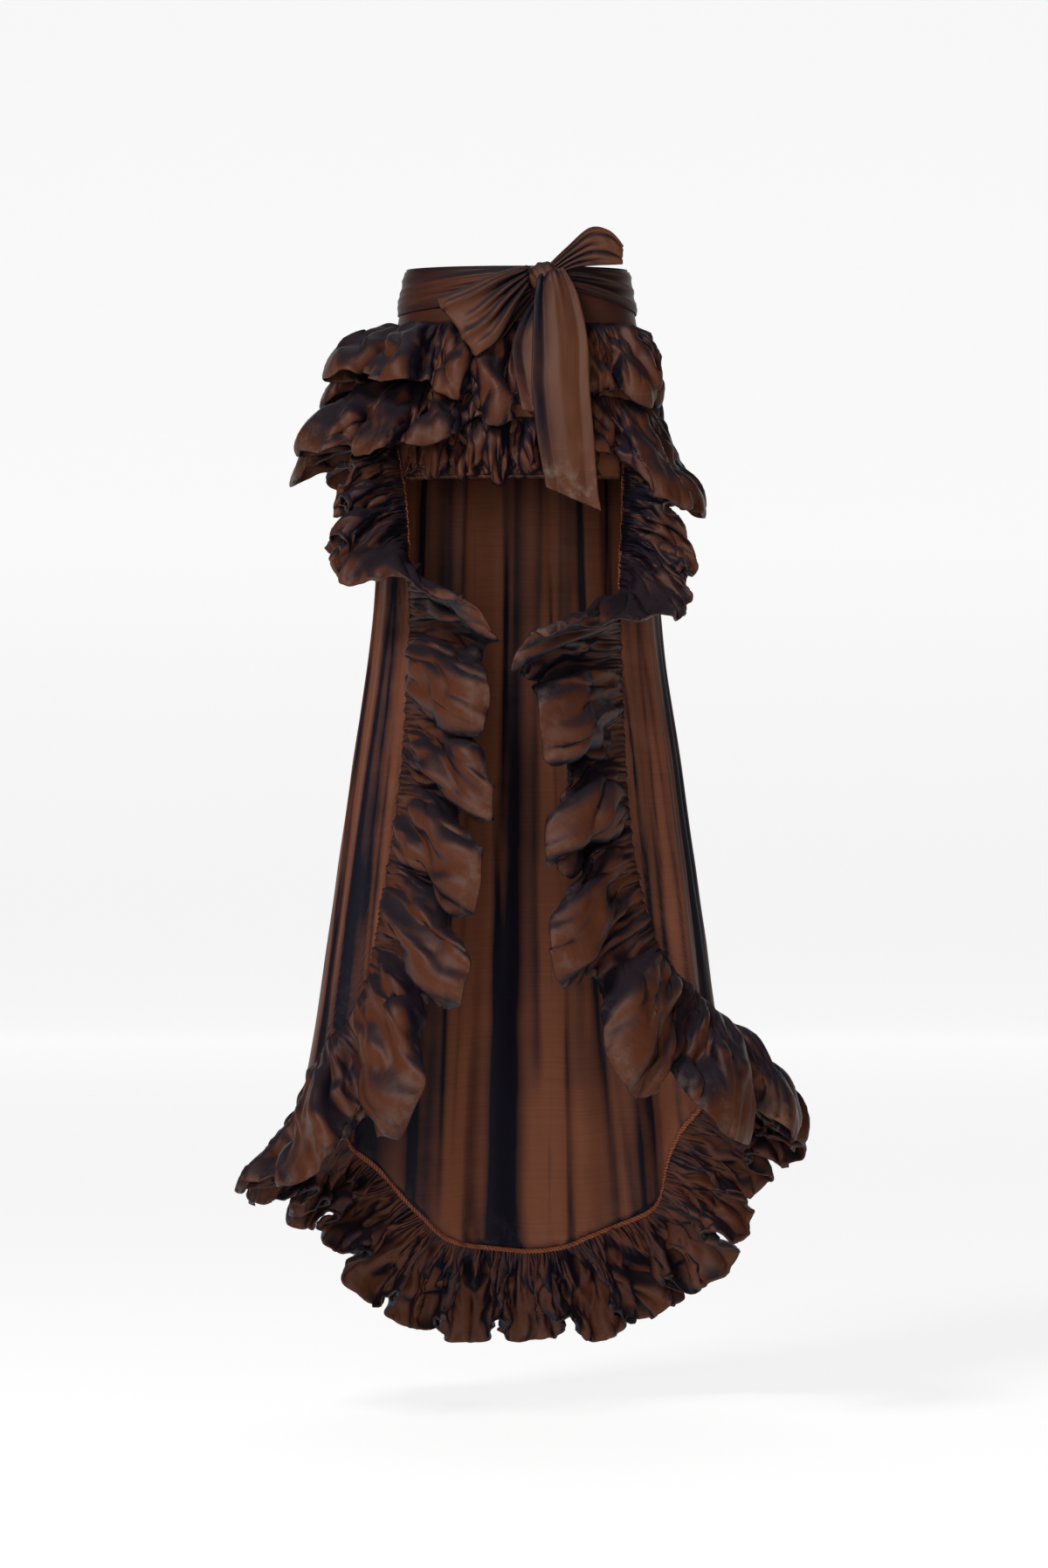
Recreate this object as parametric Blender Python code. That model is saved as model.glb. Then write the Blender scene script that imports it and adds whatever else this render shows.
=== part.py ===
"""A tiered high-low ruffle skirt in shot taffeta, at its real size, in metres.

The wearer's waist centre, level with the waistband's top edge, is the origin.
+Z is up, the open front faces -Y, and +X is on the right of someone who looks at the front.
Angles run round the body in degrees: 0 at the front, 90 at +X, 180 at the back, 270 at -X.
Heights are drops: metres below the waistband's top edge.
"""

import bpy
import numpy as np

# ---------------------------------------------------------------- driving sizes
CLOTH = 0.0012  # wall of the skirt's panels
RUFFLE_CLOTH = 0.0014  # wall of the ruffles, which are strips folded in half
BAND_CLOTH = 0.0024  # wall of the stiffened waistband
SASH_CLOTH = 0.0014  # wall of the tie sash
SEAM_GAP = 0.0003  # what two sewn pieces keep between them
BAND_DEPTH = 0.062  # height of the waistband
BAND_LIFT = 0.004  # how much higher the band stands at the back than at the front
PANEL_TOP = BAND_DEPTH + SEAM_GAP
FRONT_HEM = 0.232  # drop of the short front panel's hem
HEM_DROP = 1.1  # drop of the longest point of the back panel
STEPS_PER_LOBE = 8  # columns of a ruffle's wall in one wave
PLEATS_PER_LOBE = 2  # gathers that run into one wave
LEAN = 0.29  # how far a wave's flanks lean under its crest, as a share of its height
SWELL_GROWTH = 0.85  # power by which a wave grows from the seam to the strip's edge
GATHER_HEIGHT = 0.003  # half the height of the small gathers near a seam
GATHER_PLACE = 0.2  # share of the strip's width where they stand highest
TURNED_BACK = 0.35  # cosine of a strip's slope below which it lies over the panel
LEAST_ROOM = 0.0015  # what a strip that lies over the panel keeps off it
ROOM_USED = 0.9  # share of the space over the panel that its waves may fill
AXIS_REACH = 0.6  # rows of EDGE each way over which the edge ruffle's direction is taken
PIECE_GAP = 0.003  # space between two lengths of the edge ruffle, in waves, at each


def table(columns, *rows):
    """Rows of numbers as one array for each named column."""
    return dict(zip(columns.split(), np.array(rows, float).T))


# The body's cross-sections: two half ellipses that share a width.
BODY = table(
    "drop half_width front_depth back_depth",
    (0.000, 0.1195, 0.088, 0.086),
    (0.062, 0.1300, 0.097, 0.099),
    (0.130, 0.1420, 0.108, 0.118),
    (0.220, 0.1490, 0.115, 0.132),
    (0.375, 0.1565, 0.120, 0.150),
    (0.560, 0.1820, 0.128, 0.178),
    (0.700, 0.2015, 0.136, 0.200),
    (0.830, 0.2190, 0.146, 0.222),
    (0.950, 0.2380, 0.158, 0.242),
    (1.100, 0.2570, 0.172, 0.262),
)

# The free edge of the long skirt, down the left front, round the back hem and up the right front.
EDGE = table(
    "angle drop",
    (296.0, 0.185),
    (303.0, 0.228),
    (307.5, 0.277),
    (311.5, 0.363),
    (314.0, 0.430),
    (315.5, 0.497),
    (316.0, 0.560),
    (314.5, 0.650),
    (311.5, 0.735),
    (304.0, 0.809),
    (295.0, 0.842),
    (284.0, 0.872),
    (270.0, 0.896),
    (251.0, 0.932),
    (234.0, 0.964),
    (220.0, 0.992),
    (210.0, 1.046),
    (200.0, 1.080),
    (185.0, 1.094),
    (168.0, 1.091),
    (154.0, 1.066),
    (140.0, 1.032),
    (131.0, 0.974),
    (118.0, 0.914),
    (104.0, 0.868),
    (90.0, 0.834),
    (76.0, 0.810),
    (64.0, 0.792),
    (53.0, 0.760),
    (45.0, 0.712),
    (41.0, 0.640),
    (40.5, 0.560),
    (43.0, 0.460),
    (45.0, 0.390),
    (47.0, 0.320),
    (49.5, 0.260),
    (51.0, 0.190),
)

# Lengthwise folds of the long skirt. A positive depth stands inwards, towards the open front.
FOLDS = table(
    "angle width depth start",
    (208.0, 7.0, 0.020, 0.25),
    (199.0, 8.0, 0.016, 0.10),
    (188.0, 6.5, -0.014, 0.06),
    (175.0, 9.0, 0.022, 0.06),
    (161.0, 5.5, 0.024, 0.20),
    (148.0, 8.0, -0.020, 0.10),
    (132.0, 8.0, 0.012, 0.20),
    (116.0, 8.0, -0.014, 0.20),
    (222.0, 8.0, -0.022, 0.12),
    (240.0, 9.0, 0.012, 0.20),
    (257.0, 8.0, -0.012, 0.25),
    (284.0, 5.0, 0.012, 0.12),
    (296.0, 4.5, -0.010, 0.12),
    (306.0, 4.5, 0.011, 0.12),
    (74.0, 5.0, 0.010, 0.15),
    (61.0, 5.0, -0.010, 0.20),
    (51.0, 4.5, 0.009, 0.25),
)

# The places along EDGE, in rows, where the panels' walls have their corners.
LEFT_STOPS = (0, 1, 2, 3, 4, 5, 6, 7, 8, 8.6, 9, 9.35, 9.7, 10.1, 10.6, 11.2, 12)
RIGHT_STOPS = (25, 25.6, 26.2, 26.8, 27.4, 28, 28.5, 29, 30, 31, 32, 33, 34, 35, 36)
HEM_STOPS = np.linspace(12, 25, 47)

# Where the long skirt is cut: its front edges above the free part, and its side seams.
LEFT_TOP_ANGLE, RIGHT_TOP_ANGLE = 296.0, 51.0
LEFT_SIDE, RIGHT_SIDE = 270.0, 90.0

# The waves of the edge ruffle, a row for each, from the left front round the back to the right
# front. "at" is the wave's place as a row of EDGE, "rise" and "turn" are the strip's slope at its
# seam and at its edge (0 runs on from the skirt, 90 stands straight out, 180 is folded back over
# the skirt), "reach" is its width, "swell" half the wave's height, "sag" how far the edge drops and
# "dip" the share of its width by which its edge draws in between this wave and the next.
WAVES = table(
    "at rise turn reach swell sag dip",
    (0.15, 70, 120, 0.050, 0.007, 0.004, 0.05),
    (0.95, 85, 150, 0.068, 0.014, 0.016, 0.05),
    (1.60, 88, 142, 0.082, 0.017, 0.042, 0.04),
    (2.20, 76, 100, 0.100, 0.008, 0.076, 0.02),
    (3.00, 42, 10, 0.128, 0.014, 0.058, 0.06),
    (4.10, 30, 2, 0.108, 0.029, 0.034, 0.13),
    (5.40, 28, -5, 0.104, 0.030, 0.028, 0.17),
    (6.45, 28, -8, 0.100, 0.031, 0.034, 0.13),
    (7.50, 28, -8, 0.114, 0.032, 0.028, 0.17),
    (8.75, 28, -6, 0.106, 0.032, 0.042, 0.14),
    (10.50, 26, 14, 0.108, 0.028, 0.026, 0.09),
    (12.10, 18, 36, 0.108, 0.023, 0.008, 0.07),
    (13.00, 22, 30, 0.100, 0.023, 0.002, 0.08),
    (13.85, 26, 22, 0.086, 0.021, 0.000, 0.09),
    (14.70, 28, 14, 0.092, 0.019, 0.000, 0.07),
    (15.50, 30, 8, 0.086, 0.018, 0.000, 0.09),
    (16.30, 30, 6, 0.102, 0.019, 0.000, 0.07),
    (17.05, 30, 6, 0.100, 0.020, 0.000, 0.09),
    (17.75, 30, 4, 0.109, 0.020, 0.000, 0.06),
    (18.45, 30, 4, 0.100, 0.020, 0.000, 0.08),
    (19.15, 30, 6, 0.108, 0.020, 0.000, 0.07),
    (19.90, 30, 8, 0.098, 0.020, 0.000, 0.08),
    (20.70, 34, 8, 0.094, 0.020, 0.000, 0.07),
    (21.50, 42, 8, 0.090, 0.021, 0.000, 0.09),
    (22.25, 50, 8, 0.100, 0.023, 0.002, 0.08),
    (23.10, 58, 8, 0.106, 0.025, 0.004, 0.08),
    (24.00, 66, 4, 0.116, 0.026, 0.006, 0.07),
    (25.10, 68, 0, 0.114, 0.027, 0.012, 0.07),
    (26.60, 52, 4, 0.116, 0.030, 0.022, 0.09),
    (28.15, 36, 0, 0.110, 0.032, 0.034, 0.12),
    (29.65, 28, -8, 0.116, 0.033, 0.030, 0.17),
    (30.90, 28, -8, 0.100, 0.030, 0.034, 0.34),
    (31.85, 32, 2, 0.112, 0.028, 0.034, 0.14),
    (32.95, 40, 8, 0.144, 0.014, 0.060, 0.06),
    (33.90, 76, 102, 0.102, 0.008, 0.078, 0.02),
    (34.70, 86, 138, 0.082, 0.016, 0.048, 0.04),
    (35.60, 74, 130, 0.054, 0.009, 0.016, 0.02),
)
LEFT_JOIN, RIGHT_JOIN = 12.5, 25.5  # where the strip is pieced, in waves

# The two tiers that go all round: "at" in degrees, from the left of the front round the back.
UPPER_TIER = table(
    "at drop rise turn reach swell",
    (352, 0.0630, 24, 4, 0.100, 0.008),
    (335, 0.0630, 34, 14, 0.078, 0.012),
    (316, 0.0630, 72, 46, 0.080, 0.016),
    (292, 0.0630, 56, 44, 0.076, 0.016),
    (266, 0.0630, 46, 20, 0.088, 0.017),
    (240, 0.0630, 46, 20, 0.090, 0.018),
    (216, 0.0630, 52, 14, 0.086, 0.018),
    (193, 0.0630, 50, 10, 0.090, 0.018),
    (170, 0.0630, 52, 10, 0.086, 0.018),
    (147, 0.0630, 48, 10, 0.088, 0.017),
    (124, 0.0630, 42, 0, 0.086, 0.014),
    (100, 0.0630, 34, -20, 0.076, 0.008),
    (76, 0.0630, 36, -20, 0.074, 0.008),
    (52, 0.0630, 58, -8, 0.076, 0.013),
    (30, 0.0630, 34, -4, 0.070, 0.008),
    (11, 0.0630, 22, 0, 0.086, 0.007),
)
MIDDLE_TIER = table(
    "at drop rise turn reach swell",
    (350, 0.1290, 26, 18, 0.033, 0.003),
    (332, 0.1290, 38, 34, 0.076, 0.012),
    (313, 0.1240, 46, 42, 0.092, 0.017),
    (292, 0.1210, 48, 44, 0.100, 0.019),
    (267, 0.1200, 42, 30, 0.112, 0.020),
    (241, 0.1240, 40, 26, 0.112, 0.020),
    (217, 0.1300, 40, 24, 0.106, 0.020),
    (194, 0.1330, 40, 22, 0.106, 0.020),
    (171, 0.1350, 40, 22, 0.106, 0.020),
    (148, 0.1380, 36, 24, 0.108, 0.020),
    (124, 0.1420, 26, 22, 0.110, 0.018),
    (100, 0.1450, 8, 24, 0.112, 0.013),
    (76, 0.1460, 10, 24, 0.112, 0.014),
    (52, 0.1440, 34, 22, 0.112, 0.016),
    (30, 0.1380, 34, 26, 0.068, 0.007),
    (10, 0.1300, 26, 18, 0.033, 0.003),
)

# The puffs of the lowest tier, which is gathered into the front panel's hem at both edges.
PUFFS = table(
    "at bulge droop",
    (313, 0.010, 0.002),
    (326, 0.014, 0.005),
    (339, 0.016, 0.006),
    (352, 0.020, 0.013),
    (5, 0.020, 0.008),
    (19, 0.017, 0.012),
    (32, 0.013, 0.004),
)
PUFF_TOP, PUFF_FOOT = 0.166, 0.224  # drops of the two gathered edges
PUFF_LOWEST = 0.252  # drop that no puff hangs below
STEPS_PER_PUFF = 6

# The sash round the waistband: its edges' drops and the height of its lengthwise pleats.
SASH = table(
    "angle top foot pleat",
    (25, 0.004, 0.024, 0.0030),
    (40, 0.003, 0.031, 0.0034),
    (62, 0.003, 0.040, 0.0030),
    (90, 0.003, 0.047, 0.0024),
    (140, 0.004, 0.050, 0.0022),
    (180, 0.004, 0.050, 0.0022),
    (220, 0.004, 0.050, 0.0022),
    (270, 0.003, 0.049, 0.0024),
    (300, 0.003, 0.047, 0.0030),
    (325, 0.003, 0.042, 0.0036),
    (350, 0.003, 0.033, 0.0036),
    (366, 0.004, 0.026, 0.0030),
)
SASH_PLEATS = 2

KNOT_CENTRE = (0.0335, -0.1032, -0.0105)
KNOT_RADII = (0.0205, 0.0150, 0.0200)

# Strips of the bow. Each row is a section: its two edges, as x y z and x y z.
LONG_TAIL = table(
    "x0 y0 z0 x1 y1 z1",
    (0.0230, -0.1110, -0.0325, 0.0450, -0.1110, -0.0315),
    (0.0150, -0.1220, -0.0500, 0.0680, -0.1220, -0.0420),
    (0.0180, -0.1370, -0.0900, 0.0770, -0.1330, -0.0900),
    (0.0160, -0.1480, -0.1350, 0.0780, -0.1430, -0.1350),
    (0.0220, -0.1520, -0.1900, 0.0830, -0.1480, -0.1900),
    (0.0290, -0.1500, -0.2300, 0.0870, -0.1480, -0.2450),
    (0.0310, -0.1490, -0.2430, 0.0910, -0.1470, -0.2690),
)
SHORT_TAIL = table(
    "x0 y0 z0 x1 y1 z1",
    (0.0220, -0.1020, -0.0325, 0.0420, -0.1020, -0.0325),
    (0.0060, -0.1140, -0.0560, 0.0480, -0.1130, -0.0560),
    (-0.0050, -0.1280, -0.0900, 0.0440, -0.1250, -0.0900),
    (-0.0010, -0.1400, -0.1250, 0.0480, -0.1350, -0.1250),
    (0.0060, -0.1430, -0.1600, 0.0540, -0.1390, -0.1660),
)
LEFT_LOOP = table(
    "x0 y0 z0 x1 y1 z1",
    (0.0110, -0.1090, -0.0010, 0.0120, -0.1110, -0.0210),
    (-0.0200, -0.1200, -0.0100, -0.0020, -0.1280, -0.0500),
    (-0.0560, -0.1280, -0.0260, -0.0200, -0.1400, -0.0840),
    (-0.0800, -0.1300, -0.0360, -0.0390, -0.1450, -0.0990),
    (-0.0850, -0.1250, -0.0385, -0.0440, -0.1420, -0.1020),
    (-0.0790, -0.1200, -0.0380, -0.0390, -0.1370, -0.0990),
    (-0.0480, -0.1150, -0.0310, -0.0200, -0.1290, -0.0860),
    (-0.0150, -0.1060, -0.0250, 0.0020, -0.1180, -0.0560),
    (0.0120, -0.1010, -0.0190, 0.0190, -0.1050, -0.0330),
)
UPPER_LOOP = table(
    "x0 y0 z0 x1 y1 z1",
    (0.0430, -0.1100, 0.0110, 0.0540, -0.1090, 0.0010),
    (0.0600, -0.1140, 0.0280, 0.0660, -0.1130, 0.0060),
    (0.0810, -0.1160, 0.0480, 0.0840, -0.1150, 0.0075),
    (0.1010, -0.1140, 0.0440, 0.1020, -0.1130, 0.0080),
    (0.1150, -0.1080, 0.0290, 0.1135, -0.1070, 0.0085),
    (0.1010, -0.1020, 0.0420, 0.1010, -0.1015, 0.0085),
    (0.0810, -0.1000, 0.0450, 0.0840, -0.1000, 0.0080),
    (0.0610, -0.1000, 0.0270, 0.0670, -0.1000, 0.0060),
    (0.0450, -0.1000, 0.0110, 0.0540, -0.0990, 0.0010),
)
KNOT_GAP = 0.0005  # from the knot to a strip's end, along the knot's round


# ------------------------------------------------------------------- the shapes
def smooth(x, xs, ys):
    """A smooth curve through a table's points, level with its neighbours beyond the ends."""
    slopes = np.gradient(ys, xs)
    i = np.clip(np.searchsorted(xs, x) - 1, 0, len(xs) - 2)
    step = xs[i + 1] - xs[i]
    u = np.clip((x - xs[i]) / step, 0, 1)
    start = (2 * u**3 - 3 * u**2 + 1) * ys[i] + (u**3 - 2 * u**2 + u) * step * slopes[i]
    end = (3 * u**2 - 2 * u**3) * ys[i + 1] + (u**3 - u**2) * step * slopes[i + 1]
    return start + end


def smooth_row(at, columns, name):
    """A table's column at a place given in rows."""
    return smooth(at, np.arange(len(columns[name]), dtype=float), columns[name])


def unit(vectors):
    return vectors / np.linalg.norm(vectors, axis=-1, keepdims=True)


def fold_depth(angle, drop):
    """How far the skirt's lengthwise folds stand out from the body."""
    out = np.zeros(np.broadcast(angle, drop).shape)
    for centre, width, depth, start in zip(*FOLDS.values()):
        away = (angle - centre + 180) % 360 - 180
        grown = np.clip((drop - start) / (HEM_DROP - start), 0, 1.1) ** 1.1
        out -= depth * grown * np.exp(-((away / width) ** 2))
    return out


def body(angle, drop, out=0.0, folds=1.0):
    """Points of the skirt's surface, moved out by a distance along its level normal."""
    angle, drop, out = np.broadcast_arrays(angle, drop, out)
    turn = np.radians(angle)
    half_width = smooth(drop, BODY["drop"], BODY["half_width"])
    front = smooth(drop, BODY["drop"], BODY["front_depth"])
    back = smooth(drop, BODY["drop"], BODY["back_depth"])
    depth = np.where(np.cos(turn) > 0, front, back)
    normal = unit(np.stack([np.sin(turn) / half_width, -np.cos(turn) / depth], -1))
    flat = np.stack([half_width * np.sin(turn), -depth * np.cos(turn)], -1)
    flat = flat + normal * (out + folds * fold_depth(angle, drop))[..., None]
    return np.concatenate([flat, -drop[..., None]], -1)


def outward(angle, drop):
    """The skirt's level normal."""
    return unit(body(angle, drop, 0.01) - body(angle, drop))


def edge_at(row):
    """(angle, drop) of the free edge at a place given in rows of EDGE."""
    return smooth_row(row, EDGE, "angle"), smooth_row(row, EDGE, "drop")


def edge_point(row):
    """A point of the smooth free edge, in the middle of the panel's wall."""
    return body(*edge_at(row), CLOTH / 2)


def seam_point(row):
    """The same point on the panels' walls, which run straight from stop to stop."""
    stops = np.concatenate([LEFT_STOPS, HEM_STOPS[1:-1], RIGHT_STOPS])
    points = edge_point(stops)
    return np.stack([np.interp(row, stops, points[:, k]) for k in range(3)], -1)


def profile(rise, turn, reach, rows):
    """The strip's run across its width: how far it goes on from the skirt, and how far out."""
    fine = np.linspace(0, 1, 61)
    slope = np.radians(rise[:, None] + (turn - rise)[:, None] * fine)
    middle = (slope[:, 1:] + slope[:, :-1]) / 2
    step = reach[:, None] / 60
    onward = np.concatenate([np.zeros((len(rise), 1)), np.cumsum(np.cos(middle) * step, 1)], 1)
    out = np.concatenate([np.zeros((len(rise), 1)), np.cumsum(np.sin(middle) * step, 1)], 1)
    nearest = np.rint(rows * 60).astype(int)
    return onward[:, nearest], out[:, nearest], slope[:, nearest]


def strip(seam, along, onward_axis, out_axis, wave, sizes, rows, all_round=False):
    """A gathered strip as a grid of points: columns along its seam, rows across its width.

    seam holds the seam's points, the three axes their directions, and wave counts the waves
    passed. sizes has rise, turn, reach, swell, sag and dip for each column.
    """
    drawn_in = sizes["dip"] * (1 - np.cos(2 * np.pi * wave)) / 2
    onward, out, slope = profile(sizes["rise"], sizes["turn"], sizes["reach"] * (1 - drawn_in), rows)
    share = rows[None, :]
    swell = sizes["swell"][:, None] * share**SWELL_GROWTH
    room = np.maximum(out - LEAST_ROOM, 0) * ROOM_USED
    over_panel = np.full(slope.shape, True) if all_round else np.cos(slope) < TURNED_BACK
    swell = np.where(over_panel, np.minimum(swell, room), swell)
    height = swell * np.cos(2 * np.pi * wave)[:, None]
    gather = GATHER_HEIGHT * share / GATHER_PLACE * np.exp(1 - share / GATHER_PLACE)
    height = height + gather * np.cos(2 * np.pi * PLEATS_PER_LOBE * wave)[:, None]
    sideways = LEAN * sizes["swell"][:, None] * share * np.sin(4 * np.pi * wave)[:, None]
    onward = onward - np.sin(slope) * height
    out = out + np.cos(slope) * height
    points = (
        seam[:, None]
        + onward_axis[:, None] * onward[..., None]
        + out_axis[:, None] * out[..., None]
        + along[:, None] * sideways[..., None]
    )
    points[..., 2] -= sizes["sag"][:, None] * share**2
    return points


# -------------------------------------------------------------------- the walls
def material(name, colour, roughness, sheen):
    """Cloth of one plain colour."""
    made = bpy.data.materials.new(name)
    made.use_nodes = True
    shader = made.node_tree.nodes["Principled BSDF"]
    shader.inputs["Base Color"].default_value = (*colour, 1)
    shader.inputs["Roughness"].default_value = roughness
    shader.inputs["Metallic"].default_value = 0
    shader.inputs["Sheen Weight"].default_value = sheen
    made.diffuse_color = (*colour, 1)
    return made


def grid_normals(grid, ring):
    """The cloth's normal at each point of a grid."""
    padded = np.concatenate([grid[-1:], grid, grid[:1]]) if ring else grid
    across = np.gradient(padded, axis=0)
    across = across[1:-1] if ring else across
    down = np.gradient(grid, axis=1)
    return unit(np.cross(across, down))


def halves(around, turned=False):
    """A four-cornered face as two triangles, which meet along the same corners either way up."""
    a, b, c, d = around
    return [[a, c, b], [a, d, c]] if turned else [[a, b, c], [a, c, d]]


def wall(name, grid, thickness, cloth, ring=False):
    """A closed wall of cloth, half of its thickness on each side of a grid of points."""
    columns, rows = grid.shape[:2]
    normals = grid_normals(grid, ring)
    front, back = grid + normals * thickness / 2, grid - normals * thickness / 2
    points = np.concatenate([front.reshape(-1, 3), back.reshape(-1, 3)])
    behind = columns * rows

    def corner(i, j):
        return (i % columns) * rows + j

    faces = []
    spans = columns if ring else columns - 1
    for i in range(spans):
        for j in range(rows - 1):
            around = [corner(i, j), corner(i + 1, j), corner(i + 1, j + 1), corner(i, j + 1)]
            faces += halves(around) + halves([behind + k for k in around], True)
        for j, turned in ((0, True), (rows - 1, False)):
            rim = [corner(i, j), corner(i + 1, j), behind + corner(i + 1, j), behind + corner(i, j)]
            faces += halves(rim, turned)
    if not ring:
        for i, turned in ((0, False), (columns - 1, True)):
            for j in range(rows - 1):
                rim = [corner(i, j), corner(i, j + 1)]
                rim += [behind + corner(i, j + 1), behind + corner(i, j)]
                faces += halves(rim, turned)
    return solid(name, points, faces, cloth)


def solid(name, points, faces, cloth):
    """A named object of one closed mesh, with its faces pointing out."""
    mesh = bpy.data.meshes.new(name)
    mesh.from_pydata(points.tolist(), [], faces)
    corners = points[np.array([[f[0], f[k], f[k + 1]] for f in faces for k in range(1, len(f) - 1)])]
    if np.linalg.det(corners - points.mean(0)).sum() < 0:
        mesh.flip_normals()
    mesh.shade_smooth()
    mesh.set_sharp_from_angle(angle=np.radians(50))
    mesh.materials.append(cloth)
    made = bpy.data.objects.new(name, mesh)
    bpy.context.scene.collection.objects.link(made)
    return made


# ------------------------------------------------------------------- the pieces
def make_waistband(cloth):
    """A stiff ring that stands a little higher at the back."""
    angles = np.arange(0, 360, 7.5)[:, None]
    share = np.linspace(0, 1, 3)[None, :]
    lift = BAND_LIFT * (1 - np.cos(np.radians(angles))) / 2
    grid = body(angles, BAND_DEPTH * share, CLOTH / 2)
    grid[..., 2] += lift * (1 - share)
    wall("waistband", grid, BAND_CLOTH, cloth, ring=True)


def make_front_panel(cloth):
    """The short panel under the tiers, between the front edges of the long skirt."""
    share = np.linspace(0, 1, 13)[:, None]
    drops = np.linspace(PANEL_TOP, FRONT_HEM, 5)[None, :]
    radius = smooth(drops, BODY["drop"], BODY["half_width"])
    foot_gap = np.where(drops > 0.15, 2 * SEAM_GAP + 2 * RUFFLE_CLOTH, SEAM_GAP)
    inset = np.degrees((foot_gap + CLOTH / 2) / radius)
    left = np.interp(drops, EDGE["drop"][:3], EDGE["angle"][:3]) - 360
    right = np.interp(drops, EDGE["drop"][:-3:-1], EDGE["angle"][:-3:-1])
    angles = left + inset + (right - left - 2 * inset) * share
    wall("front_panel", body(angles, drops, CLOTH / 2), CLOTH, cloth)


def side_grid(rows_of_edge, top_angle, side_angle, columns):
    """The front part of the long skirt on one side, from its free edge to its side seam."""
    angle, drop = edge_at(rows_of_edge)
    upper = np.linspace(PANEL_TOP, drop[0], 4)[:-1]
    angle = np.concatenate([np.full(len(upper), top_angle), angle])
    drop = np.concatenate([upper, drop])
    radius = smooth(drop, BODY["drop"], BODY["half_width"])
    inset = np.degrees(SEAM_GAP / 2 / radius) * np.sign(angle - side_angle)
    share = np.linspace(0, 1, columns)[:, None]
    return body(angle + (side_angle + inset - angle) * share, drop[None, :], CLOTH / 2)


def make_long_skirt(cloth):
    """The long skirt: a back panel, and a side panel each side up to the free edge."""
    left = side_grid(np.array(LEFT_STOPS[:-1]), LEFT_TOP_ANGLE, LEFT_SIDE, 10)
    right = side_grid(np.array(RIGHT_STOPS[:0:-1]), RIGHT_TOP_ANGLE, RIGHT_SIDE, 10)
    wall("skirt_side_left", left, CLOTH, cloth)
    wall("skirt_side_right", right, CLOTH, cloth)
    hem = HEM_STOPS
    angle, drop = edge_at(hem)
    angle[0], angle[-1] = LEFT_SIDE, RIGHT_SIDE
    share = np.array([0, 0.1, 0.24, 0.4, 0.56, 0.72, 0.87, 1.0])[None, :]
    drops = PANEL_TOP + (drop[:, None] - PANEL_TOP) * share
    radius = smooth(drops, BODY["drop"], BODY["half_width"])
    inset = np.zeros((len(hem), 1))
    inset[0], inset[-1] = -1, 1
    angles = angle[:, None] + inset * np.degrees(SEAM_GAP / 2 / radius)
    wall("skirt_back", body(angles, drops, CLOTH / 2), CLOTH, cloth)


def make_edge_ruffle(cloth):
    """The ruffle along the free edge, in three joined lengths."""
    count = len(WAVES["at"])
    cuts = (("ruffle_left", 0.0, LEFT_JOIN), ("ruffle_hem", LEFT_JOIN, RIGHT_JOIN))
    cuts += (("ruffle_right", RIGHT_JOIN, count - 1.0),)
    rows = np.array([0, 0.2, 0.5, 0.8, 1.0])
    for name, start, end in cuts:
        first = start + (PIECE_GAP if start > 0 else 0)
        last = end - (PIECE_GAP if end < count - 1 else 0)
        wave = np.linspace(first, last, int((end - start) * STEPS_PER_LOBE) + 1)
        row = smooth_row(wave, WAVES, "at")
        seam = seam_point(row)
        ahead = body(*edge_at(row + AXIS_REACH), folds=0)
        along = unit(ahead - body(*edge_at(row - AXIS_REACH), folds=0))
        out_axis = outward(*edge_at(row))
        out_axis = unit(out_axis - along * (out_axis * along).sum(-1, keepdims=True))
        onward_axis = np.cross(out_axis, along)
        sizes = {key: smooth_row(wave, WAVES, key) for key in WAVES}
        clear = 2 * SEAM_GAP + RUFFLE_CLOTH / 2 * np.abs(np.sin(np.radians(sizes["rise"])))
        off_seam = np.cross(out_axis, seam_point(row + 0.02) - seam_point(row - 0.02))
        seam = seam + unit(off_seam) * clear[:, None]
        grid = strip(seam, along, onward_axis, out_axis, wave, sizes, rows)
        wall(name, grid, RUFFLE_CLOTH, cloth)


def make_tier(name, sizes_table, cloth):
    """A ruffle all round the body, sewn on by its upper edge."""
    count = len(sizes_table["at"])
    turned = np.unwrap(sizes_table["at"], period=360)
    closed = {key: np.concatenate([v[-2:], v, v[:2]]) for key, v in sizes_table.items()}
    closed["at"] = np.concatenate([turned[-2:] + 360, turned, turned[:2] - 360])
    wave = np.arange(count * STEPS_PER_LOBE) / STEPS_PER_LOBE
    sizes = {key: smooth_row(wave + 2, closed, key) for key in closed}
    base = CLOTH + SEAM_GAP + RUFFLE_CLOTH / 2
    angle, drop = sizes["at"], sizes["drop"]
    seam = body(angle, drop, base)
    onward_axis = unit(body(angle, drop + 0.01, base) - seam)
    out_axis = outward(angle, drop)
    out_axis = unit(out_axis - onward_axis * (out_axis * onward_axis).sum(-1, keepdims=True))
    along = np.cross(onward_axis, out_axis)
    sizes["sag"] = sizes["dip"] = np.zeros(len(wave))
    rows = np.array([0, 0.25, 0.6, 1.0])
    grid = strip(seam, along, onward_axis, out_axis, wave, sizes, rows, all_round=True)
    wall(name, grid, RUFFLE_CLOTH, cloth, ring=True)


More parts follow.
